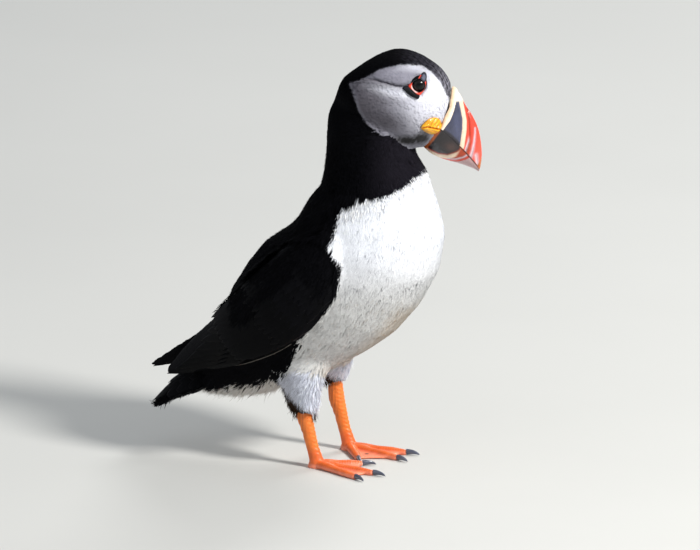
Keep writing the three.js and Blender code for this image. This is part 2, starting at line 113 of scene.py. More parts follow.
def curve(points, t):
    """The smooth curve through some points, at shares of the way from the first to the last."""
    points = np.asarray(points, float)
    t = np.atleast_1d(np.asarray(t, float))
    padded = np.vstack([2 * points[0] - points[1], points, 2 * points[-1] - points[-2]])
    place = np.clip(t, 0, 1) * (len(points) - 1)
    i = np.minimum(place.astype(int), len(points) - 2)
    w = (place - i)[:, None]
    a, b, c, d = (padded[i + k] for k in range(4))
    gaps = [np.maximum(((q - p) ** 2).sum(1, keepdims=True) ** 0.25, 1e-4) for p, q in ((a, b), (b, c), (c, d))]
    g0, g1, g2 = gaps
    m1 = ((b - a) / g0 - (c - a) / (g0 + g1) + (c - b) / g1) * g1
    m2 = ((c - b) / g1 - (d - b) / (g1 + g2) + (d - c) / g2) * g1
    return b + m1 * w + (-3 * b + 3 * c - 2 * m1 - m2) * w**2 + (2 * b - 2 * c + m1 + m2) * w**3


# ---- Making meshes ----

def make(name, points, faces, materials, *, tint=None, uv=None, face_material=None, normals=None):
    """A mesh from points in millimetres and faces, an array of triangles or quads or a list of such arrays."""
    mesh = bpy.data.meshes.new(name)
    groups = [np.asarray(f) for f in (faces if isinstance(faces, list) else [faces])]
    points = np.asarray(points, float)
    mesh.vertices.add(len(points))
    mesh.vertices.foreach_set("co", ((points + SHIFT) / 1000).ravel())
    loops = np.concatenate([g.ravel() for g in groups]).astype(np.int32)
    mesh.loops.add(len(loops))
    mesh.loops.foreach_set("vertex_index", loops)
    totals = np.concatenate([np.full(len(g), g.shape[1]) for g in groups])
    mesh.polygons.add(len(totals))
    mesh.polygons.foreach_set("loop_start", np.concatenate([[0], np.cumsum(totals)[:-1]]).astype(np.int32))
    if face_material is not None:
        mesh.polygons.foreach_set("material_index", np.asarray(face_material, np.int32))
    mesh.update(calc_edges=True)
    if tint is not None:
        colours = np.hstack([np.clip(tint, 0, 1), np.ones((len(tint), 1))]).astype(np.float32)
        mesh.attributes.new("tint", "FLOAT_COLOR", "POINT").data.foreach_set("color", colours.ravel())
    if uv is not None:
        mesh.uv_layers.new(name="OFBake").data.foreach_set("uv", np.asarray(uv, np.float32)[loops].ravel())
    mesh.polygons.foreach_set("use_smooth", np.ones(len(totals), bool))
    if normals is not None:
        mesh.normals_split_custom_set_from_vertices(normals)
    for material in materials:
        mesh.materials.append(material)
    made = bpy.data.objects.new(name, mesh)
    bpy.context.scene.collection.objects.link(made)
    return made


def grid_faces(rows, columns, closed=True, looped=False):
    """Quads of a grid of points in rows; closed joins each row's ends, looped the last row to the first."""
    r, c = np.meshgrid(np.arange(rows - (not looped)), np.arange(columns - (not closed)), indexing="ij")
    a = r * columns + c
    b = r * columns + (c + 1) % columns
    return np.stack([a, b, b + columns, a + columns], -1).reshape(-1, 4) % (rows * columns)


def fan(count):
    """Triangles that close a ring of points."""
    return np.array([(0, j, j + 1) for j in range(1, count - 1)])


def stacked(pieces):
    """Points and faces of several meshes as one."""
    starts = np.cumsum([0] + [len(points) for points, _ in pieces])
    return (np.vstack([points for points, _ in pieces]),
            np.vstack([faces + start for (_, faces), start in zip(pieces, starts)]))


def two_sided(front, rear):
    """The rows of a front, and then those of its rear from the last to the first."""
    return np.concatenate([front, rear[::-1]]).reshape(-1, 3)


def finished(piece, slot, *nodes):
    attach(piece, "root")
    if nodes:
        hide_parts(*nodes)
    return piece


def arrays(mesh):
    """Points in the bird's frame, triangles and smooth normals of a mesh."""
    mesh.calc_loop_triangles()
    return (gather(mesh.vertices, "co", 3) * 1000 - SHIFT,
            gather(mesh.loop_triangles, "vertices", 3, np.int32),
            gather(mesh.vertices, "normal", 3))


def edges_of(mesh):
    return gather(mesh.edges, "vertices", 2, np.int32)


def put(mesh, points):
    """Moves a mesh to other points, and gives its arrays."""
    mesh.vertices.foreach_set("co", ((points + SHIFT) / 1000).ravel())
    mesh.update()
    return arrays(mesh)


def remeshed(name, pieces, voxel):
    """The outer surface of several overlapping closed meshes, as one mesh of quads."""
    made = make(name, *stacked(pieces), [])
    modifier = made.modifiers.new("remesh", "REMESH")
    modifier.mode = "VOXEL"
    modifier.voxel_size = voxel / 1000
    mesh = bpy.data.meshes.new_from_object(made.evaluated_get(bpy.context.evaluated_depsgraph_get()))
    bpy.data.objects.remove(made)
    return mesh


def relaxed(points, edges, times, weight=None, share=0.5):
    """Points moved towards the middle of their neighbours."""
    count = np.bincount(edges.ravel(), minlength=len(points))[:, None]
    for _ in range(times):
        total = np.zeros_like(points)
        for axis in range(3):
            total[:, axis] = (np.bincount(edges[:, 0], points[edges[:, 1], axis], len(points))
                              + np.bincount(edges[:, 1], points[edges[:, 0], axis], len(points)))
        step = share * (total / np.maximum(count, 1) - points)
        points = points + (step if weight is None else step * weight[:, None])
    return points


class Surface:
    """A mesh to look places up on."""

    def __init__(self, points, triangles, normals=None, tags=None):
        self.points, self.triangles, self.normals, self.tags = points, triangles, normals, tags
        self.tree = BVHTree.FromPolygons([Vector(p) for p in points], triangles.tolist())

    def nearest(self, places):
        """The nearest point and its triangle, for each place."""
        found = [self.tree.find_nearest(Vector(p)) for p in places]
        return np.array([f[0] for f in found]), np.array([f[2] for f in found])

    def shares(self, places, triangle):
        """Barycentric weights of places on their triangles."""
        a, b, c = (self.points[self.triangles[triangle, k]] for k in range(3))
        v0, v1, v2 = b - a, c - a, places - a
        d00, d01, d11 = (v0 * v0).sum(1), (v0 * v1).sum(1), (v1 * v1).sum(1)
        d20, d21 = (v2 * v0).sum(1), (v2 * v1).sum(1)
        scale = np.maximum(d00 * d11 - d01 * d01, 1e-12)
        v, w = (d11 * d20 - d01 * d21) / scale, (d00 * d21 - d01 * d20) / scale
        return np.clip(np.stack([1 - v - w, v, w], 1), 0, 1)

    def read(self, values, places, triangle):
        return (values[self.triangles[triangle]] * self.shares(places, triangle)[..., None]).sum(1)


# ---- The skin ----

FLESH = ["head", "neck", "trunk", "rump", "tail", "thigh_right", "thigh_left", "wing_right", "wing_left"]
# The numbers of the parts in FLESH; both wings are WING or more.
HEAD, NECK, TRUNK, RUMP, TAIL, THIGH_RIGHT, THIGH_LEFT, WING, _ = range(len(FLESH))
BARE = ["shank_right", "foot_right", "shank_left", "foot_left"]
BODY_VOXEL, BARE_VOXEL = 1.5, 0.55
SWELL, BARE_SWELL = 0.35, 0.12  # close the gaps between solids before they are joined


def node_mesh(name):
    return arrays(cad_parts[name].data)


def swollen(name, by):
    """A node's points, welded and moved outwards, and its triangles."""
    points, triangles, normals = node_mesh(name)
    merged, index = np.unique(points.round(3), axis=0, return_inverse=True)
    index = index.ravel()
    normal = np.stack([np.bincount(index, normals[:, axis], len(merged)) for axis in range(3)], 1)
    triangles = index[triangles]
    a, b, c = triangles.T
    return merged + unit(normal) * by, triangles[(a != b) & (b != c) & (a != c)]


flesh = [node_mesh(name)[:2] for name in FLESH]
flesh_tags = np.repeat(np.arange(len(FLESH)), [len(triangles) for _, triangles in flesh])
hull = Surface(*stacked(flesh), tags=flesh_tags)


def part_of(points):
    """The number in FLESH of the part that each point is nearest to."""
    return hull.tags[hull.nearest(points)[1]]


def is_thigh(part):
    return (part == THIGH_RIGHT) | (part == THIGH_LEFT)


EYE_AT = np.array([8.0, 17.9])  # x and z of each eye in the head's frame
EYE_RADIUS = 5.0
EYE_OUT = 1.4  # how far each eye stands out of the cheek
CREASE = [(-23, 5.6), (-16, 9.8), (-9.7, 11.2), (-3.9, 12.2), (0.5, 13.8), (3, 15.6)]


def to_line(x, z, line):
    """Distance from points of the plane to a polyline, and the share of the way along it."""
    line = np.asarray(line, float)
    best = np.full(np.shape(x), 1e9)
    along = np.zeros(np.shape(x))
    for k, (a, b) in enumerate(zip(line[:-1], line[1:])):
        d = b - a
        t = np.clip(((x - a[0]) * d[0] + (z - a[1]) * d[1]) / (d @ d), 0, 1)
        gap = np.hypot(x - a[0] - t * d[0], z - a[1] - t * d[1])
        along = np.where(gap < best, (k + t) / (len(line) - 1), along)
        best = np.minimum(gap, best)
    return best, along


def inside(x, z, outline):
    """Distance inside a closed outline of the plane, negative outside."""
    outline = np.asarray(outline, float)
    gap, _ = to_line(x, z, np.vstack([outline, outline[:1]]))
    odd = np.zeros(np.shape(x), bool)
    for (x0, z0), (x1, z1) in zip(outline, np.roll(outline, -1, 0)):
        odd ^= ((z0 > z) != (z1 > z)) & (x < (x1 - x0) * (z - z0) / (z1 - z0 + 1e-12) + x0)
    return np.where(odd, gap, -gap)


def coat_depth(points, part):
    """How deep the skin lies below the feather tips."""
    x, z = points[:, 0], points[:, 2]
    q = to_head(points)
    head = 0.55 + 1.0 * smooth(-14, -28, q[:, 0]) + 0.6 * smooth(24, 29, q[:, 2]) * smooth(16, 6, q[:, 0])
    thigh = 2.4 - 1.5 * smooth(44, 30, z)
    wing = 1.3 - 1.0 * smooth(-55, -98, x)
    neck, trunk, rump = 2.6 - 1.4 * smooth(178, 200, z), 3.4 - 0.8 * smooth(150, 166, z), 3.2 + 0 * z
    tail = 1.3 - 0.9 * smooth(-80, -106, x)
    return np.choose(part, [head, neck, trunk, rump, tail, thigh, thigh, wing, wing])


body_mesh = remeshed("body", [swollen(name, SWELL) for name in FLESH], BODY_VOXEL)
points, _, _ = arrays(body_mesh)
edges = edges_of(body_mesh)
part = part_of(points)
thin = np.where((part >= WING) | (part == TAIL), 1 - 0.75 * smooth(-60, -95, points[:, 0]), 1.0)
points = relaxed(points, edges, 9, thin)
hip = smooth(34, 44, points[:, 2]) * smooth(84, 72, points[:, 2]) * smooth(24, 16, np.abs(points[:, 0] + 8))
points = relaxed(points, edges, 30, hip)
_, _, normals = put(body_mesh, points)
depth = relaxed(coat_depth(points, part)[:, None].repeat(3, 1), edges, 12)[:, 0]
points = relaxed(points - normals * (depth + SWELL * 0.6)[:, None], edges, 2, thin, share=0.4)
points, _, _ = put(body_mesh, points)

# The head is cut finer, for its folds.
fine = (to_head(points)[:, 0] > -31) & (points[:, 2] > 188)
bm = bmesh.new()
bm.from_mesh(body_mesh)
head_edges = [e for e in bm.edges if all(fine[v.index] for v in e.verts)]
bmesh.ops.subdivide_edges(bm, edges=head_edges, cuts=1, use_grid_fill=True, smooth=0.0)
bmesh.ops.triangulate(bm, faces=[f for f in bm.faces if len(f.verts) > 4])
bm.to_mesh(body_mesh)
bm.free()
points, _, normals = arrays(body_mesh)
edges = edges_of(body_mesh)
on_head = smooth(-34, -30, to_head(points)[:, 0]) * smooth(186, 190, points[:, 2])
points = relaxed(points, edges, 3, on_head)
x, _, z = to_head(points).T
throat = np.exp(-((z + 18.5) / 4) ** 2) * smooth(-20, -10, x) * smooth(18, 10, x)
points = relaxed(points, edges, 40, throat)
x, _, z = to_head(points).T
gap, along = to_line(x, z, CREASE)
crease = np.exp(-(gap / 0.9) ** 2) * smooth(0, 0.25, along) * on_head
bulge = np.exp(-(gap / 3.5) ** 2) * smooth(0, 0.3, along) * on_head
eye_gap = np.hypot(x - EYE_AT[0], z - EYE_AT[1])
lid = np.exp(-((eye_gap - 6.2) / 1.3) ** 2) * on_head
socket = smooth(4.9, 3.4, eye_gap) * on_head
jowl = np.exp(-(np.hypot((x - 19) / 1.4, z + 12) / 6) ** 2) * on_head
rise = 0.35 * bulge - 0.9 * crease + 0.35 * lid - 2.4 * socket - 0.25 * jowl
body_points, body_triangles, body_normals = put(body_mesh, points + normals * rise[:, None])

bare_mesh = remeshed("bare", [swollen(name, BARE_SWELL) for name in BARE], BARE_VOXEL)
bare_points, _, _ = arrays(bare_mesh)
bare_points, bare_triangles, bare_normals = put(bare_mesh, relaxed(bare_points, edges_of(bare_mesh), 3))
x, y, z = bare_points.T
from_heel = np.hypot(x - STEP * (y > 0), y - np.sign(y) * STANCE)
scute = np.cos(2 * math.pi * from_heel / 1.5) * smooth(5, 9, from_heel) * smooth(1.6, 2.6, z)
shin = np.cos(2 * math.pi * (z + 0.4 * x) / 2.2) * smooth(6, 9, z) * smooth(-0.2, 0.6, bare_normals[:, 0])
bare_points = bare_points + bare_normals * (0.13 * scute + 0.12 * shin)[:, None]

# ---- Markings ----

WHITE_UNDERSIDE = [(90, 176), (54.4, 173.5), (53.5, 169.9), (50, 166.6), (45.7, 163.8), (41, 161.9),
                   (34.5, 160.1), (28.6, 157.1), (21.9, 154), (17.9, 150.9), (18.5, 145.8), (16.9, 141.2),
                   (15.9, 137.5), (14.5, 134.7), (13.9, 129.2), (17.9, 126.4), (20.8, 123.3), (17.2, 110.1),
                   (15, 105), (9, 96.2), (5.6, 92.6), (0.6, 85.6), (-7.6, 77.5), (-9.1, 74.2), (-13, 63.7),
                   (-19, 57.8), (-23, 60), (-30, 51.3), (-36.3, 51.6), (-46.2, 48.5), (-53, 46.2),
                   (-63.5, 43.3), (-72.8, 36.8), (-90, 28), (-90, -20), (120, -20), (120, 176)]
FACE = [(-26.4, -0.5), (-22.3, 4.8), (-18.7, 10.2), (-15.3, 15.6), (-10.8, 19.6), (-6.1, 23), (-0.9, 25.2),
        (4.8, 26.6), (11.2, 26.2), (18.3, 23.4), (23.4, 19.3), (28.4, 15.2), (45, 12), (45, -15), (28, -18),
        (19.9, -20.8), (14.1, -19.2), (7.5, -18.6), (1, -18), (-4.7, -16.8), (-9.9, -15.1), (-16.6, -10.2),
        (-23.4, -2.4)]
ABOVE_CREASE = CREASE + [(8, 20), (9, 27), (-2, 27), (-14, 21)]
# The second of these colours is painted light: a lighter black for the lit front of the neck.
BLACK, LIT_NECK_BLACK, BROWN = srgb(7, 7, 10), srgb(30, 28, 35), srgb(50, 36, 26)
# The second of these colours is painted shade: the white underside greyer lower down, where less light reaches it.
BREAST, SHADED_BELLY, TAN = srgb(242, 245, 252), srgb(214, 214, 213), srgb(160, 130, 88)
# The second of the face's colours is a painted highlight and the third painted shade.
CHEEK, FACE_HIGHLIGHT, FACE_SHADE, UPPER, JOWL = (srgb(164, 163, 176), srgb(240, 241, 251), srgb(104, 100, 108),
                                    srgb(156, 155, 168), srgb(62, 61, 62))


def waves(points, size, seed=0):
    """Smooth noise from about -1 to 1, of waves of a size."""
    total = np.zeros(len(points))
    generator = np.random.default_rng(seed + 100)
    for _ in range(6):
        way = generator.normal(size=3)
        way *= 2 * math.pi / size / np.linalg.norm(way) * generator.uniform(0.6, 1.6)
        total += np.sin(points @ way + generator.uniform(0, 6.28))
    return total / 3


def blot(x, z, at, wide, high, lean=0):
    c, s = math.cos(math.radians(lean)), math.sin(math.radians(lean))
    u, v = (x - at[0]) * c + (z - at[1]) * s, -(x - at[0]) * s + (z - at[1]) * c
    return np.exp(-(u / wide) ** 2 - (v / high) ** 2)


def face_colour(q):
    x, z = q[:, 0], q[:, 2]
    in_face, above = inside(x, z, FACE), inside(x, z, ABOVE_CREASE)
    upper = smooth(-0.5, 0.5, above)
    dark = np.maximum(blot(x, z, (16.5, -15.4), 8.5, 3.4, 22), blot(x, z, (23, -11.2), 6.5, 4.2, 28))
    gap, along = to_line(x, z, CREASE)
    return layered(
        CHEEK,
        # painted shade towards the rear of the cheek, which faces away from the light
        (FACE_SHADE, smooth(8, -12, x - 0.2 * z) * 0.9),
        # painted highlight round the eye and towards the bill, where the light falls
        (FACE_HIGHLIGHT, blot(x, z, (20, 14), 14.5, 16, 20) ** 0.6),
        # painted highlight along a strip just below the crease
        (FACE_HIGHLIGHT, 0.95 * blot(x, z, (-3, 8.4), 12, 2.8, 14)),
        # painted shade on the lower middle of the cheek
        (FACE_SHADE * 0.86, 0.9 * blot(x, z, (0, -9.5), 15, 9, 8)),
        (CHEEK * 0.8, 0.45 * smooth(2.6, 0.6, in_face) * smooth(6, -2, z)),
        # painted shade: the grey above the crease darkens towards the fold
        (mix(UPPER * 0.72, UPPER, smooth(0, 5, above)), upper * 0.95),
        # painted highlight along the face's upper edge, above the crease
        (FACE_HIGHLIGHT, 0.6 * upper * smooth(4.5, 1, in_face) * smooth(-12, 2, x)),
        (JOWL, np.clip(1.25 * dark * (1 + 0.15 * waves(q, 2.2, 9)), 0, 1)),
        (CHEEK * 0.7, 0.6 * blot(x, z, (29, -15), 2.6, 2.2)),
        # painted shadow in the crease
        (srgb(52, 50, 60), np.exp(-(gap / 0.75) ** 2) * smooth(0.05, 0.4, along) * 0.95))


def inside_face(q):
    """Distance inside the pale face, which leaves a black nape between its two sides."""
    nape = np.abs(q[:, 1]) - 6 * smooth(-12, -26, q[:, 0])
    face = inside(q[:, 0], q[:, 2], FACE)
    return np.where(q[:, 0] < -12, np.minimum(face, nape), face)


def head_colour(q, ragged):
    x, z = q[:, 0], q[:, 2]
    # The crown turns grey over its top and towards the bill: partly real grey speckles, partly a painted sheen
    # where the top faces the light.
    grey = smooth(-14, 10, x) * smooth(20, 27, z + 0.25 * x)
    speckle = waves(q * [0.35, 1, 1], 1.6, 3)
    pale = mix(srgb(62, 60, 70), srgb(150, 148, 160), smooth(8, 26, x))  # greyer near the bill
    crown = mix(BLACK, pale, grey * (0.55 + 0.5 * speckle).clip(0.05, 1))
    return mix(crown, face_colour(q), smooth(-0.4, 0.4, inside_face(q) + ragged))


def on_right_thigh(points):
    """x and z of points, those of the left thigh as if it stood where the right one does."""
    left = points[:, 1] > 0
    return points[:, 0] - STEP * left, points[:, 2] - LEFT_HEM * left


def plumage(points, part, ragged=0.0):
    """The coat's colour at points of the bird, each on a numbered part of FLESH."""
    x, z = points[:, 0], points[:, 2]
    white = inside(x, z, WHITE_UNDERSIDE) + ragged
    # painted shade: the white greys down the belly
    coat = mix(BREAST, SHADED_BELLY, smooth(140, 95, z))
    # painted shade: greyer still at the lowest part of the belly
    coat = mix(coat, SHADED_BELLY * 0.9, smooth(66, 45, z) * 0.7)
    # painted light: the black turns lighter on the front of the neck, where the light falls
    dark = mix(BLACK, LIT_NECK_BLACK, smooth(150, 175, z) * smooth(24, 50, x))
    colour = mix(dark, coat, smooth(-0.4, 0.4, white))
    leg_x, leg_z = on_right_thigh(points)
    colour = mix(colour, BROWN, is_thigh(part) * smooth(1.6, -2.4, leg_z - 43 + 1.1 * (leg_x + 14)))
    colour = np.where((part >= WING)[:, None], BLACK, colour)
    q = to_head(points)
    on_the_head = (part == HEAD) | ((part == NECK) & (q[:, 0] > -30) & (z > 196))
    return np.where(on_the_head[:, None], head_colour(q, ragged), colour)


# ---- Materials ----

def shader(name, colour=None, *, rough, mottle, coat=0.0, sub=0.0, bump=(), spec=0.5):
    """A material of one colour, or of its points' tint, mottled and dented by layers of noise."""
    material = bpy.data.materials.new(name)
    material.use_nodes = True
    nodes, links = material.node_tree.nodes, material.node_tree.links
    surface, place = nodes["Principled BSDF"], nodes.new("ShaderNodeTexCoord")

    def preset(node, **values):
        for key, value in values.items():
            node.inputs[key.replace("_", " ")].default_value = value
        return node

    def noise(scale, detail):
        made = preset(nodes.new("ShaderNodeTexNoise"), Scale=scale, Detail=detail)
        links.new(place.outputs["Object"], made.inputs["Vector"])
        return made.outputs["Fac"]

    preset(surface, Roughness=rough, Specular_IOR_Level=spec, Coat_Weight=coat, Coat_Roughness=0.08)
    if sub:
        preset(surface, Subsurface_Weight=sub, Subsurface_Radius=(0.004, 0.0018, 0.001), Subsurface_Scale=0.6)
    if colour is None:
        base = nodes.new("ShaderNodeAttribute")
        base.attribute_name = "tint"
    else:
        base = nodes.new("ShaderNodeRGB")
        base.outputs["Color"].default_value = (*colour, 1)
    scale, low, high = mottle
    spread = preset(nodes.new("ShaderNodeMapRange"), From_Min=0.3, From_Max=0.7, To_Min=low, To_Max=high)
    links.new(noise(scale, 4), spread.inputs["Value"])
    product = nodes.new("ShaderNodeVectorMath")
    product.operation = "SCALE"
    links.new(base.outputs["Color"], product.inputs[0])
    links.new(spread.outputs["Result"], product.inputs["Scale"])
    links.new(product.outputs["Vector"], surface.inputs["Base Color"])
    normal = None
    for scale, strength, distance in bump:
        dents = preset(nodes.new("ShaderNodeBump"), Strength=strength, Distance=distance)
        links.new(noise(scale, 3), dents.inputs["Height"])
        if normal:
            links.new(normal, dents.inputs["Normal"])
        normal = dents.outputs["Normal"]
    if normal:
        links.new(normal, surface.inputs["Normal"])
    return material


skin_look = shader("skin_look", rough=0.8, spec=0.15, bump=[(900, 0.5, 0.0006)], mottle=(700, 0.9, 1.08))
bare_look = shader("bare_look", rough=0.42, sub=0.15, bump=[(600, 0.35, 0.0005), (2200, 0.3, 0.0002)],
                   mottle=(260, 0.86, 1.1))
coat_look = shader("coat_look", rough=0.8, spec=0.04, mottle=(300, 0.94, 1.05))
vane_look = shader("vane_look", rough=0.55, spec=0.05, bump=[(1500, 0.25, 0.0002)], mottle=(500, 0.85, 1.15))
horn_look = shader("horn_look", rough=0.33, coat=0.25, bump=[(350, 0.25, 0.0005), (1400, 0.2, 0.0002)],
                   mottle=(420, 0.9, 1.06))
cere_look = shader("cere_look", rough=0.55, bump=[(1100, 0.6, 0.0005)], mottle=(500, 0.9, 1.06))
eye_look = shader("eye_look", rough=0.2, spec=0.25, mottle=(500, 0.9, 1.1))
claw_look = shader("claw_look", srgb(82, 86, 102), rough=0.28, coat=0.5, bump=[(700, 0.2, 0.0004)],
                   mottle=(300, 0.7, 1.3))
ring_look = shader("ring_look", rough=0.4, bump=[(900, 0.4, 0.0005)], mottle=(700, 0.8, 1.15))
plate_look = shader("plate_look", rough=0.55, spec=0.15, bump=[(700, 0.4, 0.0005)], mottle=(600, 0.75, 1.2))
rosette_look = shader("rosette_look", rough=0.38, coat=0.2, sub=0.1, bump=[(900, 0.3, 0.0004)],
                      mottle=(500, 0.85, 1.12))

# ---- The skin as one piece ----

body_tint = plumage(body_points, part_of(body_points)) * 0.94
ORANGE, SALMON, SHIN_RED = srgb(238, 110, 46), srgb(252, 146, 112), srgb(240, 128, 48)
WEB_HOLE = (18.5, 10.3)  # the small hole in the left web, a dark mark
toe_ridge = smooth(1.7, 3.2, bare_points[:, 2])
bare_tint = mix(SALMON, ORANGE, toe_ridge)
bare_tint = mix(bare_tint, SHIN_RED, smooth(8, 14, bare_points[:, 2]))
hole = np.hypot(bare_points[:, 0] - WEB_HOLE[0], bare_points[:, 1] - WEB_HOLE[1])
bare_tint = mix(bare_tint, srgb(40, 16, 12), smooth(1.5, 1.0, hole))
bare_tint = mix(bare_tint, ORANGE * 0.62, 0.55 * smooth(0.2, -0.9, scute) * toe_ridge)
skin = make("skin", *stacked([(body_points, body_triangles), (bare_points, bare_triangles)]),
            [skin_look, bare_look], tint=np.vstack([body_tint, bare_tint]),
            face_material=[0] * len(body_triangles) + [1] * len(bare_triangles))
skin.data.uv_layers.new(name="OFBake")
bpy.context.view_layer.objects.active = skin
skin.select_set(True)
bpy.ops.object.mode_set(mode="EDIT")
bpy.ops.mesh.select_all(action="SELECT")
bpy.ops.uv.smart_project(angle_limit=math.radians(66), island_margin=0.001)
bpy.ops.object.mode_set(mode="OBJECT")
skin_uv = gather(skin.data.uv_layers["OFBake"].data, "uv", 2, np.float32)
body_uv = skin_uv.reshape(-1, 3, 2)[:len(body_triangles)]
finished(skin, "plumage_white", *FLESH, *BARE)
body = Surface(body_points, body_triangles, body_normals, part_of(body_points[body_triangles].mean(1)))

# ---- Feathers ----

SPINE_FINE = curve(SPINE, np.linspace(0, 1, 80))
SPINE_WAY = unit(np.gradient(SPINE_FINE, axis=0))
BILL_ROOT = from_head([33, 0, -3])


def flow(points):
    """The way the coat lies."""
    gap = (points[:, [0]] - SPINE_FINE[:, 0]) ** 2 + (points[:, [2]] - SPINE_FINE[:, 1]) ** 2
    way = SPINE_WAY[gap.argmin(1)]
    down = -np.stack([way[:, 0], 0 * way[:, 0], way[:, 1]], 1)
    down[:, 2] -= 0.25
    on_leg = smooth(52, 40, points[:, 2]) * smooth(-25, -15, points[:, 0]) * smooth(10, 0, points[:, 0])
    down = mix(down, [-0.12, 0, -1], on_leg)
    q = to_head(points)
    radial = unit(points - BILL_ROOT)
    share = smooth(184, 198, points[:, 2]) * smooth(-31, -17, q[:, 0])
    return unit(mix(down, radial, share))


def scatter(weight, count):
    """Random roots on the skin: their places, triangles and unwrapped places."""
    a, b, c = (body.points[body.triangles[:, k]] for k in range(3))
    area = 0.5 * np.linalg.norm(np.cross(b - a, c - a), axis=1) * weight
    chosen = rng.choice(len(area), count, p=area / area.sum())
    u, v = rng.random(count), rng.random(count)
    over = u + v > 1
    u[over], v[over] = 1 - u[over], 1 - v[over]
    shares = np.stack([1 - u - v, u, v], 1)[..., None]
    return ((body.points[body.triangles[chosen]] * shares).sum(1), chosen, (body_uv[chosen] * shares).sum(1))


def marched(places, triangle, length, steps=4):
    """Lines on the skin along the coat, with the skin's normals. Past a thigh's end they hang."""
    line, upward = [places], [unit(body.read(body.normals, places, triangle))]
    hanging = np.zeros(len(places), bool)
    for _ in range(steps):
        normal = upward[-1]
        way = flow(places)
        way = unit(way - (way * normal).sum(1, keepdims=True) * normal)
        step = (length / steps)[:, None]
        on_skin, triangle = body.nearest(places + way * step)
        turned = unit(body.read(body.normals, on_skin, triangle))
        hanging |= (turned[:, 2] < -0.45) & (on_skin[:, 2] < 46) & (np.abs(on_skin[:, 0] + 6) < 17)
        free = places + unit(way + [0, 0, -0.9]) * step
        places = np.where(hanging[:, None], free, on_skin)
        line.append(places)
        upward.append(np.where(hanging[:, None], normal, turned))
    return np.stack(line, 1), np.stack(upward, 1)


def along_line(line, share):
    place = np.clip(share, 0, 1) * (line.shape[1] - 1)
    i = np.minimum(place.astype(int), line.shape[1] - 2)
    w = (place - i)[..., None]
    rows = np.arange(len(line))
    while rows.ndim < i.ndim:
        rows = rows[:, None]
    return line[rows, i] * (1 - w) + line[rows, i + 1] * w


SECTIONS = np.array([0, 0.35, 0.72, 1.0])  # how far along a strand its three pairs of points and its tip lie
BREADTH = np.array([0.6, 1.0, 0.75])
RISE = np.array([-0.1, 0.62, 0.96, 1.0])
STRAND_FACES = np.array([(0, 4, 3), (0, 1, 4), (1, 5, 4), (1, 2, 5), (2, 6, 5)])
# painted shade: each strand darker at its root, under the strands lying over it, and a little lighter at its tip
STRAND_SHADE = np.array([0.88, 1, 1.02, 0.88, 1, 1.02, 1.03])
NEAR_TIP = [0, 0, 1, 0, 0, 1, 1]  # which points take the colour of the strand's outer part
PATCH = 0.0014  # half the width of a feather's patch on the unwrap
STRAND_PATCH = np.array([(-1, -1), (-1, 0), (-1, 0.6), (1, -1), (1, 0), (1, 0.6), (0, 1)]) * PATCH


def both_edges(middle, offset):
    """The three sections of strands to both sides of their middle, and then their tips."""
    return np.concatenate([middle[:, :, :3] - offset, middle[:, :, :3] + offset, middle[:, :, 3:]], 2)


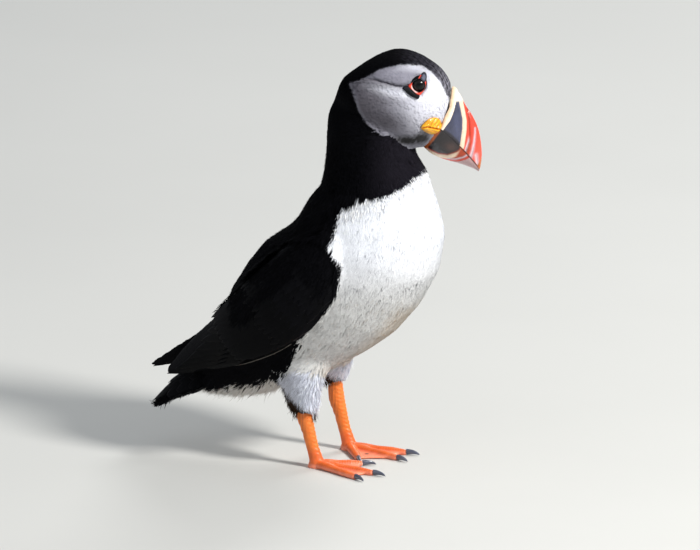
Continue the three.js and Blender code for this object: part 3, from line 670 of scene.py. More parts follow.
def tufts(name, slot, weight, count, *, long, wide, strands, spread, deep=1.0, lift=0.15, tint=plumage,
          ragged=0.8, shade=0.05, stray=0.1, roll=0.15, uneven=0.05, tuck=0.0):
    """Tufts of pointed strands over part of the coat, each strand a thin tapering blade."""
    places, triangle, uv = scatter(weight, count)
    length = long * rng.uniform(0.75, 1.2, count)
    line, upward = marched(places, triangle, length)
    lying = (upward[:, 0] * upward[:, -1]).sum(1) > 0.2
    places, triangle, uv, length, line, upward = (a[lying] for a in (places, triangle, uv, length, line, upward))
    count = len(places)
    part = body.tags[triangle]
    reach = rng.uniform(0.7, 1.0, (count, strands))
    share = (reach[..., None] * SECTIONS).reshape(count, -1)
    centre = along_line(line, share).reshape(count, strands, 4, 3)
    up = unit(along_line(upward, share).reshape(count, strands, 4, 3))
    ahead = unit(line[:, -1] - line[:, 0])[:, None, None, :]
    side = unit(np.cross(up, np.broadcast_to(ahead, up.shape)))
    shift = rng.uniform(-1, 1, (count, strands, 1, 1)) * spread
    splay = rng.normal(0, stray, (count, strands, 1, 1)) * length[:, None, None, None]
    spine = centre + side * (shift * (1 - 0.4 * SECTIONS[:, None]) + splay * (SECTIONS**1.5)[:, None])
    height = (coat_depth(places, part) * deep)[:, None] * rng.normal(1, uneven, (count, strands))
    stand = height[..., None] * (RISE - [0, -0.6 * tuck, 0, tuck])
    stand = stand + rng.exponential(lift, (count, strands))[..., None] * SECTIONS**2
    tilt = rng.normal(0, roll, (count, strands, 1, 1))
    breadth = (wide * rng.uniform(0.7, 1.25, (count, strands, 1)) * BREADTH / 2)[..., None]
    tilted = side[:, :, :3] * np.cos(tilt) + up[:, :, :3] * np.sin(tilt)
    points = both_edges(spine + up * stand[..., None], tilted * breadth)
    normals = unit(both_edges(up * np.cos(tilt) - side * np.sin(tilt), 0.25 * side[:, :, :3]))
    first = (np.arange(count * strands) * len(STRAND_SHADE))[:, None, None]
    faces = (first + STRAND_FACES).reshape(-1, 3)
    seen = np.stack([spine[:, :, 1], (spine[:, :, 2] + spine[:, :, 3]) / 2]).reshape(-1, 3)
    ragged = np.tile(rng.normal(0, ragged, count * strands), 2)
    # Each strand has two colours, of its inner and its outer part.
    colour = tint(seen, np.tile(np.repeat(part, strands), 2), ragged).reshape(2, count, strands, 3)
    colour = colour * rng.normal(1, shade, (count, strands, 1)).clip(0.7, 1.3)
    colour = colour * rng.normal(1, shade, (count, 1, 1))
    colour = (colour[NEAR_TIP] * STRAND_SHADE[:, None, None, None]).transpose(1, 2, 0, 3)
    patch = uv[:, None, None, :] + STRAND_PATCH + np.zeros((count, strands, 1, 1))
    piece = make(name, points.reshape(-1, 3), faces, [coat_look], tint=colour.reshape(-1, 3),
                 uv=patch.reshape(-1, 2), normals=normals.reshape(-1, 3))
    print(name, len(faces))
    return finished(piece, slot)


def belly_tint(points, part, ragged):
    """The underside's colours, with the stains and specks of its lowest part."""
    colour = plumage(points, part, ragged)
    above_keel = points[:, 2] - np.interp(points[:, 0], [-20, 4, 16, 30, 45], [46, 50, 57, 69, 86])
    stained = smooth(16, 3, above_keel) * smooth(-6, 8, points[:, 0])
    soiled = (above_keel < 2.4) & (np.abs(points[:, 0] - 6) < 8) & (rng.random(len(points)) < 0.55)
    colour = np.where(soiled[:, None], BROWN * 0.6, colour)
    speck = rng.random(len(points)) < 0.03 + 0.12 * stained
    colour = mix(colour, srgb(214, 190, 160), 0.4 * stained)
    colour = np.where((speck & (points[:, 2] < 105))[:, None], mix(colour, TAN, 0.3 + 0.5 * stained), colour)
    # on the thighs a bluish white: painted shade
    return np.where(is_thigh(part)[:, None], srgb(218, 222, 234), colour)


def thigh_tint(points, part, ragged):
    """The thighs' white, painted bluish and greyer towards the rear as shade, with its brown hem behind."""
    x, z = on_right_thigh(points)
    brown = smooth(1.6, -2.4, z - (44 - 1.15 * (x + 14)) + 1.2 * ragged) * smooth(56, 46, z)
    # painted shade: bluish white, greyer towards the rear
    white = mix(srgb(222, 226, 238), srgb(196, 196, 204), smooth(-4, -16, x) * 0.7)
    return mix(white, BROWN * rng.uniform(0.5, 1.5, (len(points), 1)), brown)


def black_tint(points, part, ragged):
    return np.tile(BLACK, (len(points), 1))


def vent_tint(points, part, ragged):
    # on the painted shade of the lower belly, with tan and brown stains
    return mix(mix(SHADED_BELLY, TAN, 0.25 * (1 + ragged).clip(0, 1)), BROWN, 0.7 * (ragged > 1.9))


middle = body.points[body.triangles].mean(1)
facing_up = body.normals[body.triangles].mean(1)[:, 2]
mid_x, mid_y, mid_z = middle.T
head_x, _, head_z = to_head(middle).T
tags = body.tags
thighs, trunk = is_thigh(tags), (tags == NECK) | (tags == TRUNK) | (tags == RUMP)
is_white = inside(mid_x, mid_z, WHITE_UNDERSIDE)
in_face = inside_face(to_head(middle))
clear_of_eye = smooth(4.6, 5.4, np.hypot(head_x - EYE_AT[0], head_z - EYE_AT[1]))
head_top = (tags == HEAD) | ((tags == NECK) & (head_x > -30) & (mid_z > 198))
on_head = head_top * (head_x < 31.0) * (1 + 1.2 * smooth(-5, 12, head_x))  # denser towards the bill
tufts("face_coat", "face", (in_face > -1.6) * clear_of_eye * on_head, 13100, long=1.9, wide=0.38, strands=3,
      spread=0.5, deep=0.9, lift=0.02, ragged=0.14, shade=0.018, roll=0.04, uneven=0.02, tuck=0.2)
tufts("crown_coat", "plumage_black", (in_face < -1.2) * on_head, 9000, long=2.9, wide=0.5, strands=3, spread=0.55,
      lift=0.05, ragged=0.2, shade=0.1)
tufts("neck_coat", "plumage_black", (tags == NECK) * ~head_top * (is_white < 1.5), 7500, long=5.5, wide=0.7,
      strands=4, spread=1.1, ragged=0.5, shade=0.12)
upper = mid_z > 118
tufts("breast_coat", "plumage_white", trunk * (is_white > -3) * upper, 7900, long=8.5, wide=0.55, strands=5,
      spread=1.4, lift=0.02, ragged=0.6, shade=0.02, roll=0.03, uneven=0.015, tuck=0.12)
tufts("belly_coat", "plumage_white", (trunk * (is_white > -3) + 0.6 * thighs * (mid_z > 48)) * ~upper, 7900,
      long=10, wide=0.5, strands=5, spread=1.5, lift=0.04, tint=belly_tint, shade=0.025, roll=0.05, uneven=0.02,
      tuck=0.12)
tufts("back_coat", "plumage_black", ((tags == TRUNK) | (tags == RUMP)) * (is_white < 1), 7800, long=9.5, wide=0.9,
      strands=5, spread=1.5, lift=0.12, ragged=0.5, shade=0.15)
on_cap = (facing_up < -0.6) & (mid_z < 46)
tufts("thigh_coat", "plumage_white", thighs * ~on_cap, 4400, long=9, wide=0.5, strands=5, spread=1.2, lift=0.65,
      tint=thigh_tint, ragged=0.6, shade=0.08, stray=0.17)
FLANK = [(-5, 78), (-11, 72), (-16, 62), (-22, 61), (-30, 53), (-38, 52), (-48, 49), (-58, 46), (-66, 42)]
flank_gap, _ = to_line(mid_x, mid_z, FLANK)
tufts("flank_coat", "plumage_black", trunk * (flank_gap < 5) * (is_white < 1.0) * (np.abs(mid_y) > 6), 1500,
      long=12, wide=1.0, strands=6, spread=2.2, lift=0.5, tint=black_tint, shade=0.15, stray=0.16)
tufts("vent_coat", "plumage_white", trunk * (is_white > 0.5) * (mid_x < -24) * (mid_z < 58), 2600, long=12,
      wide=0.6, strands=5, spread=1.8, lift=0.9, tint=vent_tint, stray=0.16)

# ---- Folded wings ----

WING_LINE = [(15, 40, 139), (1, 44.5, 120), (-20, 43, 97), (-45, 34, 77), (-70, 21, 61)]
WING_TIPS = {"right": (-94, 14, 46), "left": (-107.5, -3, 46)}
WING_BLADE = [(5, 6, 3, 10), (20, 21, 8, 14), (25, 24, 9, 18), (24, 19, 8, 26), (18, 11, 6, 36),
              (3, 2.5, 2, 40)]
WING_BEND = 48  # radius of the blade across its length
WING_ROWS = 200


def spineward(way):
    """The direction across the wing, towards the spine."""
    return unit(np.stack([way[..., 2], 0 * way[..., 0], -way[..., 0]], -1))


class Blade:
    """Places on a folded wing: s from the shoulder to the tip, v from the lower edge (-1) to the upper (1)."""

    def __init__(self, side):
        self.mirror = np.array([1, SIDES[side], 1])
        t = np.linspace(0, 1, WING_ROWS)
        self.middle = curve([*WING_LINE, WING_TIPS[side]], t)
        self.way = unit(np.gradient(self.middle, axis=0))
        self.reach = curve(WING_BLADE, t)

    def where(self, points):
        """Roughly the s and v of points near the blade."""
        flipped = points * self.mirror
        row = ((flipped[:, None, [0, 2]] - self.middle[None, ::4, [0, 2]]) ** 2).sum(2).argmin(1) * 4
        off = ((flipped - self.middle[row]) * spineward(self.way[row])).sum(1)
        return row / (WING_ROWS - 1), off / np.where(off > 0, self.reach[row, 0], self.reach[row, 1])

    def at(self, s, v, lift):
        row = np.clip(s, 0, 1) * (WING_ROWS - 1)
        i = np.minimum(row.astype(int), WING_ROWS - 2)
        w = (row - i)[..., None]
        middle, way, reach = (a[i] * (1 - w) + a[i + 1] * w for a in (self.middle, self.way, self.reach))
        up, down, thick, lean = np.moveaxis(reach, -1, 0)
        lean = np.radians(lean)[..., None]
        left = np.array([0, 1, 0])
        outward = left * np.cos(lean) + spineward(way) * np.sin(lean)
        across = spineward(way) * np.cos(lean) - left * np.sin(lean)
        swing = (v * np.where(v > 0, up, down) / WING_BEND)[..., None]
        radius = (WING_BEND + np.sqrt(np.clip(1 - v**2, 0, 1)) * thick / 2 + lift)[..., None]
        place = middle + across * radius * np.sin(swing) + outward * (radius * np.cos(swing) - WING_BEND)
        return place * self.mirror

    def feather(self, s, v, off, lift):
        """The place some millimetres off s and v, across the blade."""
        row = (np.clip(s, 0, 1) * (WING_ROWS - 1)).astype(int)
        reach = np.where(v > 0, self.reach[row, 0], self.reach[row, 1])
        return self.at(s, v + off / np.maximum(reach, 3), lift)


LENGTHWAYS = np.array([0, 0.12, 0.3, 0.5, 0.68, 0.82, 0.92, 0.97, 1.0])
ACROSS = np.array([-1, -0.55, 0, 0.55, 1, 0.55, 0, -0.55])  # the upper side, then back along the lower


def vanes(name, slot, place, feathers, surface_uv):
    """Closed thin blades with a rounded end. Each feather: root (s, v), tip (s, v), width, lift at the root and
    at the tip, colour, and the power by which its end rounds."""
    points, tints, uvs = [], [], []
    k = len(ACROSS)
    per = len(LENGTHWAYS) * k
    t = LENGTHWAYS[:, None]
    under = np.arange(k) >= 5
    spot = np.stack([ACROSS + 0 * t, 2 * t - 1 + 0 * ACROSS], -1).reshape(-1, 2) * PATCH
    for root, tip, width, low, high, colour, power in feathers:
        s = root[0] + (tip[0] - root[0]) * t + 0 * ACROSS
        v = root[1] + (tip[1] - root[1]) * t + 0 * ACROSS
        taper = np.clip(1 - ((t - 0.62) / 0.385).clip(0, 1) ** power, 0.02, 1)
        breadth = width / 2 * np.minimum(1, 0.45 + 2.2 * t) * taper
        lift = low + (high - low) * t + 0.3 * (1 - ACROSS**2) - under * 0.22
        rows = place(s, v, breadth * ACROSS, lift)
        points.append(rows.reshape(-1, 3))
        edge = 0.75 + 0.5 * np.abs(ACROSS) ** 3 + 0.25 * (t > 0.9)
        tints.append((colour * (edge * (0.9 + 0.2 * rng.random()))[..., None]).reshape(-1, 3))
        uvs.append(np.tile(surface_uv(rows[1, 2]), (per, 1)) + spot)
    starts = (np.arange(len(feathers)) * per)[:, None, None]
    sides = (starts + grid_faces(len(LENGTHWAYS), k)).reshape(-1, 4)
    caps = np.concatenate([starts + fan(k)[:, [0, 2, 1]], starts + per - k + fan(k)]).reshape(-1, 3)
    piece = make(name, np.vstack(points), [sides, caps], [vane_look], tint=np.vstack(tints),
                 uv=np.vstack(uvs))
    print(name, len(sides) * 2)
    return finished(piece, slot)


def uv_near(point):
    place, triangle = body.nearest([point])
    return (body_uv[triangle] * body.shares(place, triangle)[..., None]).sum(1)[0]


QUILL, COVERT = srgb(8, 8, 9), srgb(7, 7, 9)
for name in SIDES:
    blade = Blade(name)
    rows = []
    for i in range(8):  # primaries, the longest lowest
        share = i / 7
        rows.append(((0.30 + 0.02 * i, -0.86 + 0.55 * share), (1.0 - 0.045 * i, -0.55 + 1.15 * share), 9.0,
                     -0.9 + 0.1 * i, -0.4 + 0.16 * i, QUILL, 2.6))
    for i in range(11):  # secondaries
        share = i / 10
        rows.append(((0.24, -0.75 + 1.4 * share), (0.64 + 0.06 * share, -0.72 + 1.5 * share), 10.5, -0.5,
                     0.35 + 0.05 * i, COVERT, 3))
    for i in range(13):  # greater coverts
        share = i / 12
        rows.append(((0.14, -0.8 + 1.55 * share), (0.46 + 0.03 * rng.random(), -0.86 + 1.7 * share), 8.5, -0.3,
                     0.55 + 0.03 * i, COVERT, 3))
    for row, (s0, s1) in enumerate([(0.12, 0.37), (0.07, 0.30), (0.03, 0.235), (0.0, 0.17)]):  # lesser coverts
        for i in range(15):
            share = (i + 0.5 * (row % 2)) / 14
            rows.append(((s0 - 0.02 * rng.random(), -0.85 + 1.7 * share),
                         (s1 + 0.03 * rng.random(), -0.95 + 1.9 * share), 6.2 + rng.random(), -0.4,
                         0.35 + 0.02 * i, BLACK * rng.uniform(0.9, 1.3), 3))
    rows.append(((0.42, -0.98), (0.66, -0.96), 0.6, 0.2, 0.8, srgb(90, 86, 80), 2))  # a thin pale strip along the lower edge
    vanes(f"wing_feathers_{name}", "plumage_black", blade.feather, rows, uv_near)
    s, v = blade.where(middle)
    this = tags == FLESH.index(f"wing_{name}")
    shoulder = this * np.maximum(smooth(0.2, 0.08, s), smooth(0.05, 0.4, v) * smooth(0.55, 0.4, s))
    beside = (tags == TRUNK) * (np.sign(mid_y) == SIDES[name]) * (np.abs(mid_y) > 26) * (is_white < -7) * 0.5
    tufts(f"scapular_coat_{name}", "plumage_black", shoulder + beside * smooth(0.5, 0.35, s), 3800, long=11,
          wide=0.9, strands=5, spread=1.6, deep=1.6, lift=0.2, ragged=0.5, shade=0.16)

# ---- The tail ----

# x, z, half the width, the height of the upper side, and how far the edges fall
TAIL_LINE = [(-62, 48, 13, 6, 3), (-76, 43.5, 15, 5.5, 6), (-90, 37, 12, 4.8, 5), (-101, 28, 7, 2.9, 2),
             (-107.5, 22.8, 2.4, 1.2, 0.4)]
TAIL_FINE = curve(TAIL_LINE, np.linspace(0, 1, 120))
TAIL_WAY = unit(np.gradient(TAIL_FINE[:, :2], axis=0))


def on_tail(face):
    """Places on the tail's upper (1) or lower (-1) face: s from the root to the tip, v from side to side."""
    def place(s, v, off, lift):
        row = np.clip(s, 0, 1) * (len(TAIL_FINE) - 1.01)
        i = row.astype(int)
        w = (row - i)[..., None]
        x, z, wide, high, fall = np.moveaxis(TAIL_FINE[i] * (1 - w) + TAIL_FINE[i + 1] * w, -1, 0)
        way = TAIL_WAY[i]
        y = v * wide + off
        share = np.clip(y / np.maximum(wide, 5), -1, 1)
        rise = face * (np.sqrt(np.clip(1 - share**2, 0, 1)) * high + lift)
        return np.stack([x + way[..., 1] * rise, y, z - way[..., 0] * rise - fall * share**2], -1)
    return place


for face, name in ((1, "tail_feathers_upper"), (-1, "tail_feathers_lower")):
    rows = []
    for i in range(7):
        for side in (-1, 1):
            share = (6 - i) / 6
            tip = (1.0 - 0.2 * share**1.5 + 0.01 * rng.normal(), side * (0.7 * share + 0.05))
            rows.append(((0.02, side * 0.25 * share), tip, 5.0, -1.0, -0.4 + 0.1 * i,
                         QUILL * rng.uniform(0.7, 1.1), 2.2))
    for row in range(3):  # the coverts over their roots
        for i in range(9):
            tip = (0.3 + 0.14 * row + 0.03 * rng.random(), -0.95 + 1.9 * i / 8)
            rows.append(((0.0, -0.7 + 1.4 * i / 8), tip, 6.5, -0.8, 0.5 - 0.1 * row, BLACK * rng.uniform(0.9, 1.3),
                         2.4))
    vanes(name, "plumage_black", on_tail(face), rows, uv_near)

under_tail = (tags == TAIL) * (facing_up < 0.1) * (mid_x > -104)
tufts("tail_fringe", "plumage_black", under_tail * smooth(-66, -78, mid_x), 420, long=7, wide=0.6, strands=6,
      spread=1.6, deep=1.2, lift=0.5, tint=black_tint, shade=0.15, stray=0.2)

# ---- The bill ----

# x, top, bottom, gape and half the width
BILL = [(26, 22, -16.5, -1, 9), (33, 19.4, -18.6, -2.6, 8.4), (39, 14.8, -18.8, -4.2, 7.2),
        (45, 11, -18, -6.7, 5.9), (51, 5.8, -17, -9.4, 4.5), (56, -0.8, -16.5, -11.8, 3.3),
        (60, -8, -16.4, -13.9, 2.2), (62.2, -14.6, -16.8, -15.6, 1)]
SHARPNESS = 1.55
BILL_FINE = curve(BILL, np.linspace(0, 1, 400))
# z and x of the cere's two edges
CERE_REAR = [(-3, 30.9), (-1.2, 30.8), (3.9, 30.3), (11.1, 30.7), (17.3, 28.4), (20, 27.5)]
CERE_FRONT = [(-3, 32.4), (-1.5, 32.9), (1.3, 33.4), (5.1, 34.2), (11, 33.9), (16.3, 32.7), (20, 31.9)]
SLATE_RIM = [(34.2, 16.2), (37.3, 12), (40.4, 7.8), (42.7, 2.7), (44.3, -2.4), (45.5, -6.2)]
GROOVES = [[(40.4, 13.9), (41.7, 12.4), (45, 7.1), (47.6, 1.9), (49, -2.4), (49.9, -8.7)],
           [(49.4, 5.5), (50.5, 3.3), (52.2, -1.3), (53.6, -6.5), (54.3, -10.8)],
           [(56.6, -8.2), (58.4, -11), (60.3, -13.8)]]
LOWER_SLATE = [(28, 3), (46.5, -3), (46.6, -9.0), (45.6, -11), (41.8, -14.9), (36.8, -16.7), (31.1, -16.7),
               (28, -15.8)]
LOWER_GROOVES = [[(43, -17.2), (46.8, -15.6), (50.5, -12.2), (51.8, -10)],
                 [(44.6, -17.9), (48.4, -16.3), (51.6, -13), (53, -10.8)]]
HORN_RED, HORN_DEEP, HORN_CREAM = srgb(232, 72, 52), srgb(168, 60, 20), srgb(240, 214, 186)
HORN_SLATE, HORN_DARK, HORN_PALE = srgb(60, 63, 84), srgb(32, 27, 31), srgb(204, 190, 198)
# The third of these colours is painted shade along the gape.
HORN_TIP, EDGE_BROWN, GAPE_SHADE = srgb(184, 152, 152), srgb(164, 78, 22), srgb(96, 50, 30)


def section(x):
    """Top, bottom, gape and width of the bill at x, in the head's frame."""
    return [np.interp(x, BILL_FINE[:, 0], BILL_FINE[:, k]) for k in range(1, 5)]


def bill_point(x, angle):
    """Places on the bill's surface; the angle runs from the top (0) over the left side."""
    top, bottom, gape, wide = section(x)
    s, c = np.sin(angle), np.cos(angle)
    y = np.sign(s) * np.abs(s) ** (2 / SHARPNESS) * wide
    z = gape + np.sign(c) * np.abs(c) ** (2 / SHARPNESS) * np.where(c > 0, top - gape, gape - bottom)
    return np.stack([x + 0 * angle, y, z], -1)


def band(x, z, line, reach):
    gap, _ = to_line(x, z, line)
    return np.exp(-(gap / reach) ** 2)


def beyond(x, z, line):
    """Distance towards the tip from a line that runs down the side of the bill."""
    line = np.asarray(line, float)[::-1]
    return x - np.interp(z, line[:, 1], line[:, 0])


def upper_horn(x, z):
    slate, first, second = (beyond(x, z, line) for line in (SLATE_RIM, GROOVES[0], GROOVES[1]))
    above_gape = z - section(x)[2]
    low = smooth(6, -8, z)
    coral = layered(
        HORN_RED,
        (HORN_RED * [1, 1.5, 1.7], 0.6 * smooth(2.2, 4.5, slate) * smooth(-3.2, -4.5, first)),
        (HORN_DEEP, 0.75 * low * smooth(0, -2, first)),
        (mix(HORN_RED * 0.85, HORN_DEEP, low), smooth(-0.5, 0.5, first) * smooth(2.6, 0.9, first)),
        (HORN_DEEP, 0.75 * smooth(0, -9, z) * smooth(0, 0.8, first) * smooth(0, -1.5, second)),
        (HORN_RED * [1, 1.6, 1.8], 0.6 * smooth(1, 3, second)))
    return layered(
        HORN_SLATE,
        (HORN_SLATE * 1.9, 0.6 * band(x, z, [(36.5, 8), (39, 4), (41.5, -1)], 1.9)),
        # painted highlight: the slate lighter along its rim, where it rises to the cream ridge
        (HORN_SLATE * 2.2, 0.6 * smooth(-1.5, -0.3, slate)),
        # painted shade: nearly black along the gape, the slit between the two halves
        (HORN_DARK, 0.9 * smooth(2.2, 0.9, above_gape)),
        (HORN_CREAM, smooth(-0.25, 0.25, slate)),
        (coral, smooth(2.3, 3.0, slate)),
        (HORN_DEEP * 0.6, band(x, z, GROOVES[0], 0.45) * smooth(-2, 4, z) * 0.8),
        (HORN_PALE, band(x, z, GROOVES[0], 0.65) * smooth(1, -3, z) * 0.9),
        (HORN_PALE, band(x, z, GROOVES[1], 0.5 + 0.04 * np.clip(4 - z, 0, 14)) * 0.95),
        (HORN_PALE, band(x, z, GROOVES[2], 1.1) * 0.85),
        (srgb(244, 232, 216), smooth(-0.5, 0.5, z - 15.9 - 0.55 * (x - 34)) * smooth(38.5, 36.5, x)),
        # painted shade: a dark brown line along the gape towards the tip
        (GAPE_SHADE, 0.85 * smooth(0.75, 0.25, above_gape) * smooth(44, 47, x)),
        (srgb(186, 96, 34), smooth(59.4, 60.6, x)))


def lower_horn(x, z):
    in_slate = inside(x, z, LOWER_SLATE)
    return layered(
        HORN_RED,
        (HORN_DEEP, smooth(-17.5, -14.5, z) * 0.95),
        (mix(HORN_CREAM * 0.8, HORN_CREAM, smooth(-0.4, -1.6, in_slate)),
         smooth(0.3, -0.5, in_slate) * smooth(-3.0, -2.3, in_slate) * smooth(47.5, 45.5, x)),
        (mix(HORN_DARK, srgb(92, 68, 62), 0.6 * blot(x, z, (41.5, -9.5), 3.5, 2.6)), smooth(-0.6, 1.2, in_slate)),
        (HORN_PALE, band(x, z, LOWER_GROOVES[0], 0.55) * 0.9),
        (HORN_RED * 0.8, band(x, z, LOWER_GROOVES[1], 0.6) * 0.9),
        (HORN_TIP, smooth(0.4, 1.1, beyond(x, z, LOWER_GROOVES[1][::-1]))),
        (EDGE_BROWN, smooth(1.1, 0.3, x - 29.0 - 0.155 * (z + 16.4))),
        # painted shade: a dark brown line along the gape towards the tip
        (GAPE_SHADE, 0.7 * smooth(0.6, 0.2, section(x)[2] - z) * smooth(44, 47, x)))


def horn(name, upper, node, slot, paint, grooves):
    """One half of the bill: closed, with ridges between its grooves."""
    rows, columns = 150, 90
    rear, tip = (31.2 if upper else 27.4), 62.1
    angle = np.linspace(-math.pi / 2, math.pi / 2, columns) + (0 if upper else math.pi)
    x = rear + (tip - rear) * np.linspace(0, 1, rows)[:, None] ** 0.9 + 0 * angle
    q = bill_point(x, np.broadcast_to(angle, x.shape)).reshape(-1, 3)
    q[:, 2] += 0.14 if upper else -0.14  # the halves stand a little apart
    x, z = q[:, 0], q[:, 2]
    relief = (-0.42 * sum(band(x, z, line, 0.55) for line in grooves)
              + 0.16 * sum(band(x + 1.3, z, line, 0.8) for line in grooves)
              + 0.3 * (band(x - 1.1, z, SLATE_RIM, 0.9) if upper else 0) + 0.05 * waves(q, 2.4, 5))
    q[:, 1] += np.sign(q[:, 1]) * smooth(0, 1.2, np.abs(q[:, 1])) * relief
    faces = [grid_faces(rows, columns)[:, ::-1], fan(columns), fan(columns)[:, ::-1] + (rows - 1) * columns]
    return finished(make(name, from_head(q), faces, [horn_look], tint=paint(x, z)), slot, node)


horn("bill_upper_horn", True, "bill_upper", "bill_red", upper_horn, GROOVES)
horn("bill_lower_horn", False, "bill_lower", "bill_slate", lower_horn, LOWER_GROOVES)

# The cere: a raised, grainy rim between the feathers and the horn.
rows, columns = 26, 120
angle = np.linspace(-1.52, 1.52, columns)
across = np.linspace(0, 1, rows)[:, None] + 0 * angle
level = bill_point(np.full(columns, 32.0), angle)[:, 2]
rear_edge, front_edge = (np.interp(level, *np.array(line).T) for line in (CERE_REAR, CERE_FRONT))
x = rear_edge + (front_edge - rear_edge) * across
q = bill_point(x, np.broadcast_to(angle, x.shape))
out = unit(q - np.stack([x, 0 * x, -2 + 0 * x], -1))
outer = q + out * (np.sin(math.pi * across.clip(0.02, 0.98)) ** 0.5 - 0.15)[..., None]
grain = waves(outer.reshape(-1, 3), 0.9, 8).reshape(rows, columns)
outer = outer + out * (0.06 * grain)[..., None]
tint = mix(srgb(226, 196, 162), srgb(246, 226, 204), smooth(0.15, 0.8, across))
tint = mix(tint, tint * 1.1, smooth(-0.5, 0.8, grain))
tint = mix(tint, EDGE_BROWN * 1.2, 0.6 * smooth(0.25, 0.0, across) * smooth(10, 0, outer[..., 2]))
ends = np.array([(r, r + 1, 2 * rows - 2 - r, 2 * rows - 1 - r) for r in range(rows - 1)])[:, None] * columns
ends = (ends + np.array([[0], [columns - 1]])).reshape(-1, 4)
cere = make("cere_rim", from_head(two_sided(outer, q - out * 1.2)),
            [grid_faces(2 * rows, columns, closed=False, looped=True), ends], [cere_look],
            tint=two_sided(tint, tint))
finished(cere, "cere", "cere")

# ---- Eyes, their rings and plates, the rosettes, the claws ----

HEAD_SHAPE = np.array([(-30.5, 0, -8, 3), (-29, 2.5, -12, 8), (-24, 11.5, -16, 14.5), (-18, 20.5, -18.5, 18),
                       (-9, 28.8, -20, 20.5), (1, 30.8, -20.5, 21.5), (11, 30.2, -20.8, 20.5),
                       (19, 28, -20.5, 17), (25, 24, -19, 12.5), (29, 21.3, -17.5, 9.6),
                       (33, 19, -16.5, 8.4)])


CHEEK_POWER = 2.15  # how square the head's sections are


def cheek(x, z):
    top, bottom, wide = (np.interp(x, HEAD_SHAPE[:, 0], HEAD_SHAPE[:, k]) for k in (1, 2, 3))
    lift = np.abs(z - (top + bottom) / 2) / ((top - bottom) / 2)
    return wide * (1 - np.minimum(lift, 1) ** CHEEK_POWER) ** (1 / CHEEK_POWER)


def nail(name, node):
    """A claw like its node, with the corners eased."""
    mesh = remeshed(name, [swollen(node, 0.0)], 0.2)
    points, triangles, _ = put(mesh, relaxed(arrays(mesh)[0], edges_of(mesh), 4))
    return finished(make(name, points, triangles, [claw_look]), "claw", node)


def eyeball(side):
    """A sphere with its pupil and iris about the way it looks."""
    rows, columns = 64, 96
    centre = from_head([EYE_AT[0], SIDES[side] * (cheek(*EYE_AT) + EYE_OUT - EYE_RADIUS), EYE_AT[1]])
    ahead = unit(HEAD_AXES[1] * SIDES[side] + 0.12 * HEAD_AXES[0])
    u = unit(np.cross(ahead, [0, 0, 1.0]))
    v = np.cross(ahead, u)
    polar = np.linspace(0.0, math.pi, rows)[:, None]
    about = np.linspace(0, 2 * math.pi, columns, endpoint=False)[:, None]
    ring = np.cos(about) * u + np.sin(about) * v
    ball = np.cos(polar)[..., None] * ahead + np.sin(polar)[..., None] * ring
    cornea = 1 + 0.05 * smooth(0.75, 0.0, polar)[..., None]
    iris = srgb(28, 22, 24) * (1 + 0.3 * np.sin(about * 31 + np.sin(about * 7)))
    tint = layered(srgb(4, 4, 6), (iris, smooth(0.36, 0.42, polar)), (srgb(8, 7, 9), smooth(0.55, 0.7, polar)))
    piece = make(f"eyeball_{side}", (centre + ball * EYE_RADIUS * cornea).reshape(-1, 3),
                 grid_faces(rows, columns)[:, ::-1], [eye_look], tint=tint.reshape(-1, 3))
    return finished(piece, "eye", f"eye_{side}")


def boss(name, slot, look, side, outline, high, node, paint, *, middle=None, hole=0.0, clear=None, carve=None,
         rows=22, columns=144):
    """A raised piece on the cheek within an outline in the head's frame, round a hole if it has one. One that
    is given a clearance also stands clear of the eyeball."""
    outline = np.array(outline, float)
    middle = outline.mean(0) if middle is None else middle
    closed = np.vstack([outline[-2:], outline, outline[:2]])
    fine = curve(closed, np.linspace(1 / (len(closed) - 1), 1, 600)) - middle
    ray, reach = np.arctan2(fine[:, 1], fine[:, 0]), np.hypot(*fine.T)
    order = np.argsort(ray)
    theta = np.linspace(-math.pi, math.pi, columns, endpoint=False)
    rim = np.interp(theta, ray[order], reach[order], period=2 * math.pi)
    share = np.linspace(0.001, 1, rows)[:, None]
    radius = hole + (rim - hole) * share
    x, z = middle[0] + radius * np.cos(theta), middle[1] + radius * np.sin(theta)
    profile = np.abs(2 * share - 1) if hole else share
    level = cheek(x, z) + high * (1 - profile**3)
    if carve:
        level = level + carve(x, z) * (1 - profile**6)
    if clear is not None:
        off = np.hypot(x - EYE_AT[0], z - EYE_AT[1])
        ball = np.sqrt(np.maximum(EYE_RADIUS**2 - off**2, 0)) - EYE_RADIUS
        level = np.maximum(level, cheek(*EYE_AT) + EYE_OUT + ball + clear - 0.25 * share)
    q = two_sided(np.stack([x, level, z], -1), np.stack([x, cheek(x, z) - 1.2, z], -1)) * [1, SIDES[side], 1]
    tint = paint(x.ravel(), z.ravel(), np.broadcast_to(profile, x.shape).ravel()).reshape(rows, columns, 3)
    faces = grid_faces(2 * rows, columns, looped=hole > 0)[:, ::-SIDES[side]]
    piece = make(f"{name}_{side}", from_head(q), faces, [look], tint=two_sided(tint, tint))
    return finished(piece, slot, f"{node}_{side}")


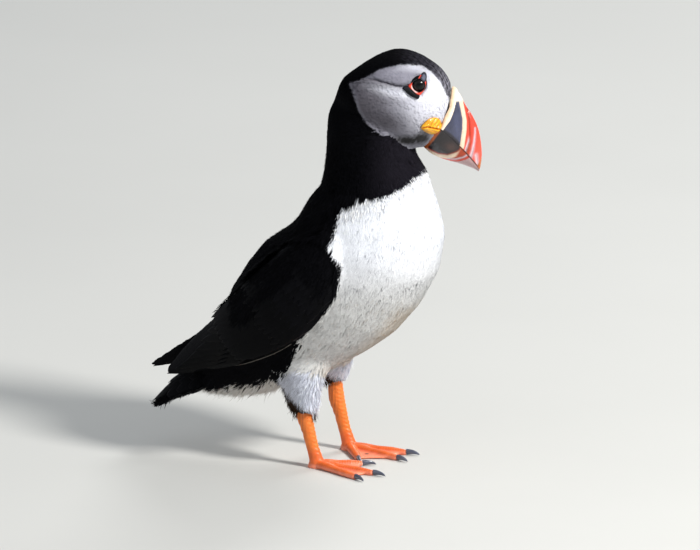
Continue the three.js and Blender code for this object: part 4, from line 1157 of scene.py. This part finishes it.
RING = [(2.7, 15.4), (4.2, 18.2), (5.9, 20.9), (6.9, 23.4), (8.6, 22.6), (10.8, 21.7), (11.8, 19.4),
        (12.0, 16.4), (11.2, 13.4), (9.6, 13.0), (6.1, 14.0)]
PLATE_ABOVE = [(7.2, 22.0), (7.0, 23.5), (7.5, 24.9), (8.8, 25.2), (10.0, 24.4), (10.7, 22.7), (10.5, 21.2),
               (9.0, 21.2)]
PLATE_BELOW = [(0.2, 12.9), (2.7, 15.3), (6.3, 13.9), (9.6, 13.1), (11.0, 12.9), (11.0, 10.9), (8.4, 10.6),
               (4.8, 11.1), (2.3, 12.0)]
ROSETTE = [(20.2, -4.4), (22.4, 2.0), (27.0, 3.6), (30.4, 1.0), (31.2, -2.9), (28.6, -6.5), (23.8, -6.3)]
ROSETTE_SLIT = [(20.8, -4.4), (23.5, -2.6), (27.5, -2.4), (30.8, -2.2)]


def ring_paint(x, z, profile):
    red = mix(srgb(232, 62, 34), srgb(184, 36, 28), profile**2)
    ray = np.degrees(np.arctan2(z - EYE_AT[1], x - EYE_AT[0])) % 360
    out = np.hypot(x - EYE_AT[0], z - EYE_AT[1])
    # The inner lip: a painted highlight at the lower left, which faces the light, and painted shade elsewhere,
    # where the ring meets the eye.
    pale = smooth(190, 215, ray) * smooth(300, 270, ray)
    red = mix(red, srgb(236, 196, 192), smooth(4.35, 4.0, out) * pale)
    return mix(red, srgb(16, 10, 12), smooth(4.05, 3.8, out) * (1 - pale))


def plate_paint(middle, edge, start):
    return lambda x, z, profile: mix(srgb(*middle), srgb(*edge), smooth(start, start + 0.5, profile))


def folds(x, z):
    """Wrinkles of the rosette, and the slit across it."""
    slit, _ = to_line(x, z, ROSETTE_SLIT)
    flat = np.stack([x.ravel(), 0 * x.ravel(), z.ravel()], 1)
    bend = waves(flat, 5, 21).reshape(x.shape)
    upper_lobe = smooth(-0.5, 0.8, z - np.interp(x, *np.array(ROSETTE_SLIT).T))
    standing = np.sin(2.5 * x + 1.6 * bend - 0.5 * z) * smooth(21.5, 24, x)
    lying = np.sin(0.7 * x + 2.0 * z + 1.5 * bend)
    ridges = 0.6 * lying * (1 - upper_lobe) + standing * upper_lobe
    return 0.3 * ridges - 0.9 * np.exp(-(slit / 0.4) ** 2) + 0.3 * np.exp(-((slit - 1.0) / 0.5) ** 2)


def rosette_paint(x, z, profile):
    # painted shade: deeper orange in the hollows of the folds and in the slit, yellower on the ridges
    colour = mix(srgb(232, 132, 12), srgb(240, 178, 26), smooth(-0.4, 0.2, folds(x, z)))
    # darker towards the bottom
    colour = mix(colour, srgb(196, 140, 22), 0.6 * smooth(-3.5, -5.5, z))
    slit, _ = to_line(x, z, ROSETTE_SLIT)
    return mix(colour, srgb(176, 100, 8), np.exp(-(slit / 0.28) ** 2) * 0.7)


for side in SIDES:
    eyeball(side)
    boss("eye_rim", "eye_ring", ring_look, side, RING, 0.75, "eye_ring", ring_paint, middle=EYE_AT, hole=3.65,
         clear=0.3)
    # the upper plate: blue-grey with a dark rim, its lighter middle partly the plate's colour and partly a painted
    # highlight
    boss("plate_above", "eye_plate", plate_look, side, PLATE_ABOVE, 1.6, "eye_plate_upper",
         plate_paint((92, 96, 114), (40, 40, 50), 0.4), clear=1.1)
    # the lower plate painted nearly black: painted shade on a plate that is blue-grey
    boss("plate_below", "eye_plate", plate_look, side, PLATE_BELOW, 0.9, "eye_plate_lower",
         plate_paint((12, 12, 17), (26, 26, 34), 0.5))
    boss("gape_rosette", "rosette", rosette_look, side, ROSETTE, 1.9, "rosette", rosette_paint, carve=folds,
         rows=40, columns=200)
    for which in ("inner", "middle", "outer"):
        nail(f"nail_{which}_{side}", f"claw_{which}_{side}")

# ---- The floor, the light and the camera ----

floor = bpy.data.objects.new("floor", bpy.data.meshes.new("floor"))
floor.data.from_pydata([(-12, -12, 0), (12, -12, 0), (12, 12, 0), (-12, 12, 0)], [], [(0, 1, 2, 3)])
floor.data.materials.append(shader("floor_look", srgb(206, 206, 202), rough=0.9, mottle=(3, 0.98, 1.02)))
bpy.context.scene.collection.objects.link(floor)

bpy.context.scene.view_settings.view_transform = "Standard"
world = bpy.data.worlds.new("studio")
world.use_nodes = True
world.node_tree.nodes["Background"].inputs["Color"].default_value = (0.86, 0.92, 1.0, 1)
world.node_tree.nodes["Background"].inputs["Strength"].default_value = 0.36
bpy.context.scene.world = world

TARGET = Vector((0, 0, 0.12))  # the middle of the bird


def lamp(name, place, size, power, colour=(1, 1, 1)):
    light = bpy.data.lights.new(name, "AREA")
    light.shape, light.size, light.energy, light.color = "DISK", size, power, colour
    made = bpy.data.objects.new(name, light)
    made.location = place
    made.rotation_euler = (TARGET - Vector(place)).to_track_quat("-Z", "Y").to_euler()
    bpy.context.scene.collection.objects.link(made)


lamp("key", (1.75, -0.5, 1.5), 0.45, 62, (1.0, 0.98, 0.95))
lamp("fill", (-1.2, -1.9, 0.9), 1.4, 3)
lamp("rim", (0.3, 1.6, 1.5), 0.8, 18)

azimuth, elevation = math.radians(20), math.radians(14)
rightward = np.array([math.cos(azimuth), math.sin(azimuth), 0])
ahead = np.array([-math.sin(azimuth), math.cos(azimuth), 0])
upward = ahead * math.sin(elevation) + [0, 0, math.cos(elevation)]
inward = ahead * math.cos(elevation) - [0, 0, math.sin(elevation)]
place = (rightward * 11.4 + upward * 104.63 - inward * 8024 + SHIFT) / 1000  # 8 m away, as with a long lens
camera = bpy.data.objects.new("camera", bpy.data.cameras.new("camera"))
camera.data.lens, camera.data.sensor_width = 721.8, 36
camera.data.clip_end = 100
camera.location = place
camera.rotation_euler = Vector(inward).to_track_quat("-Z", "Y").to_euler()
bpy.context.scene.collection.objects.link(camera)
bpy.context.scene.camera = camera
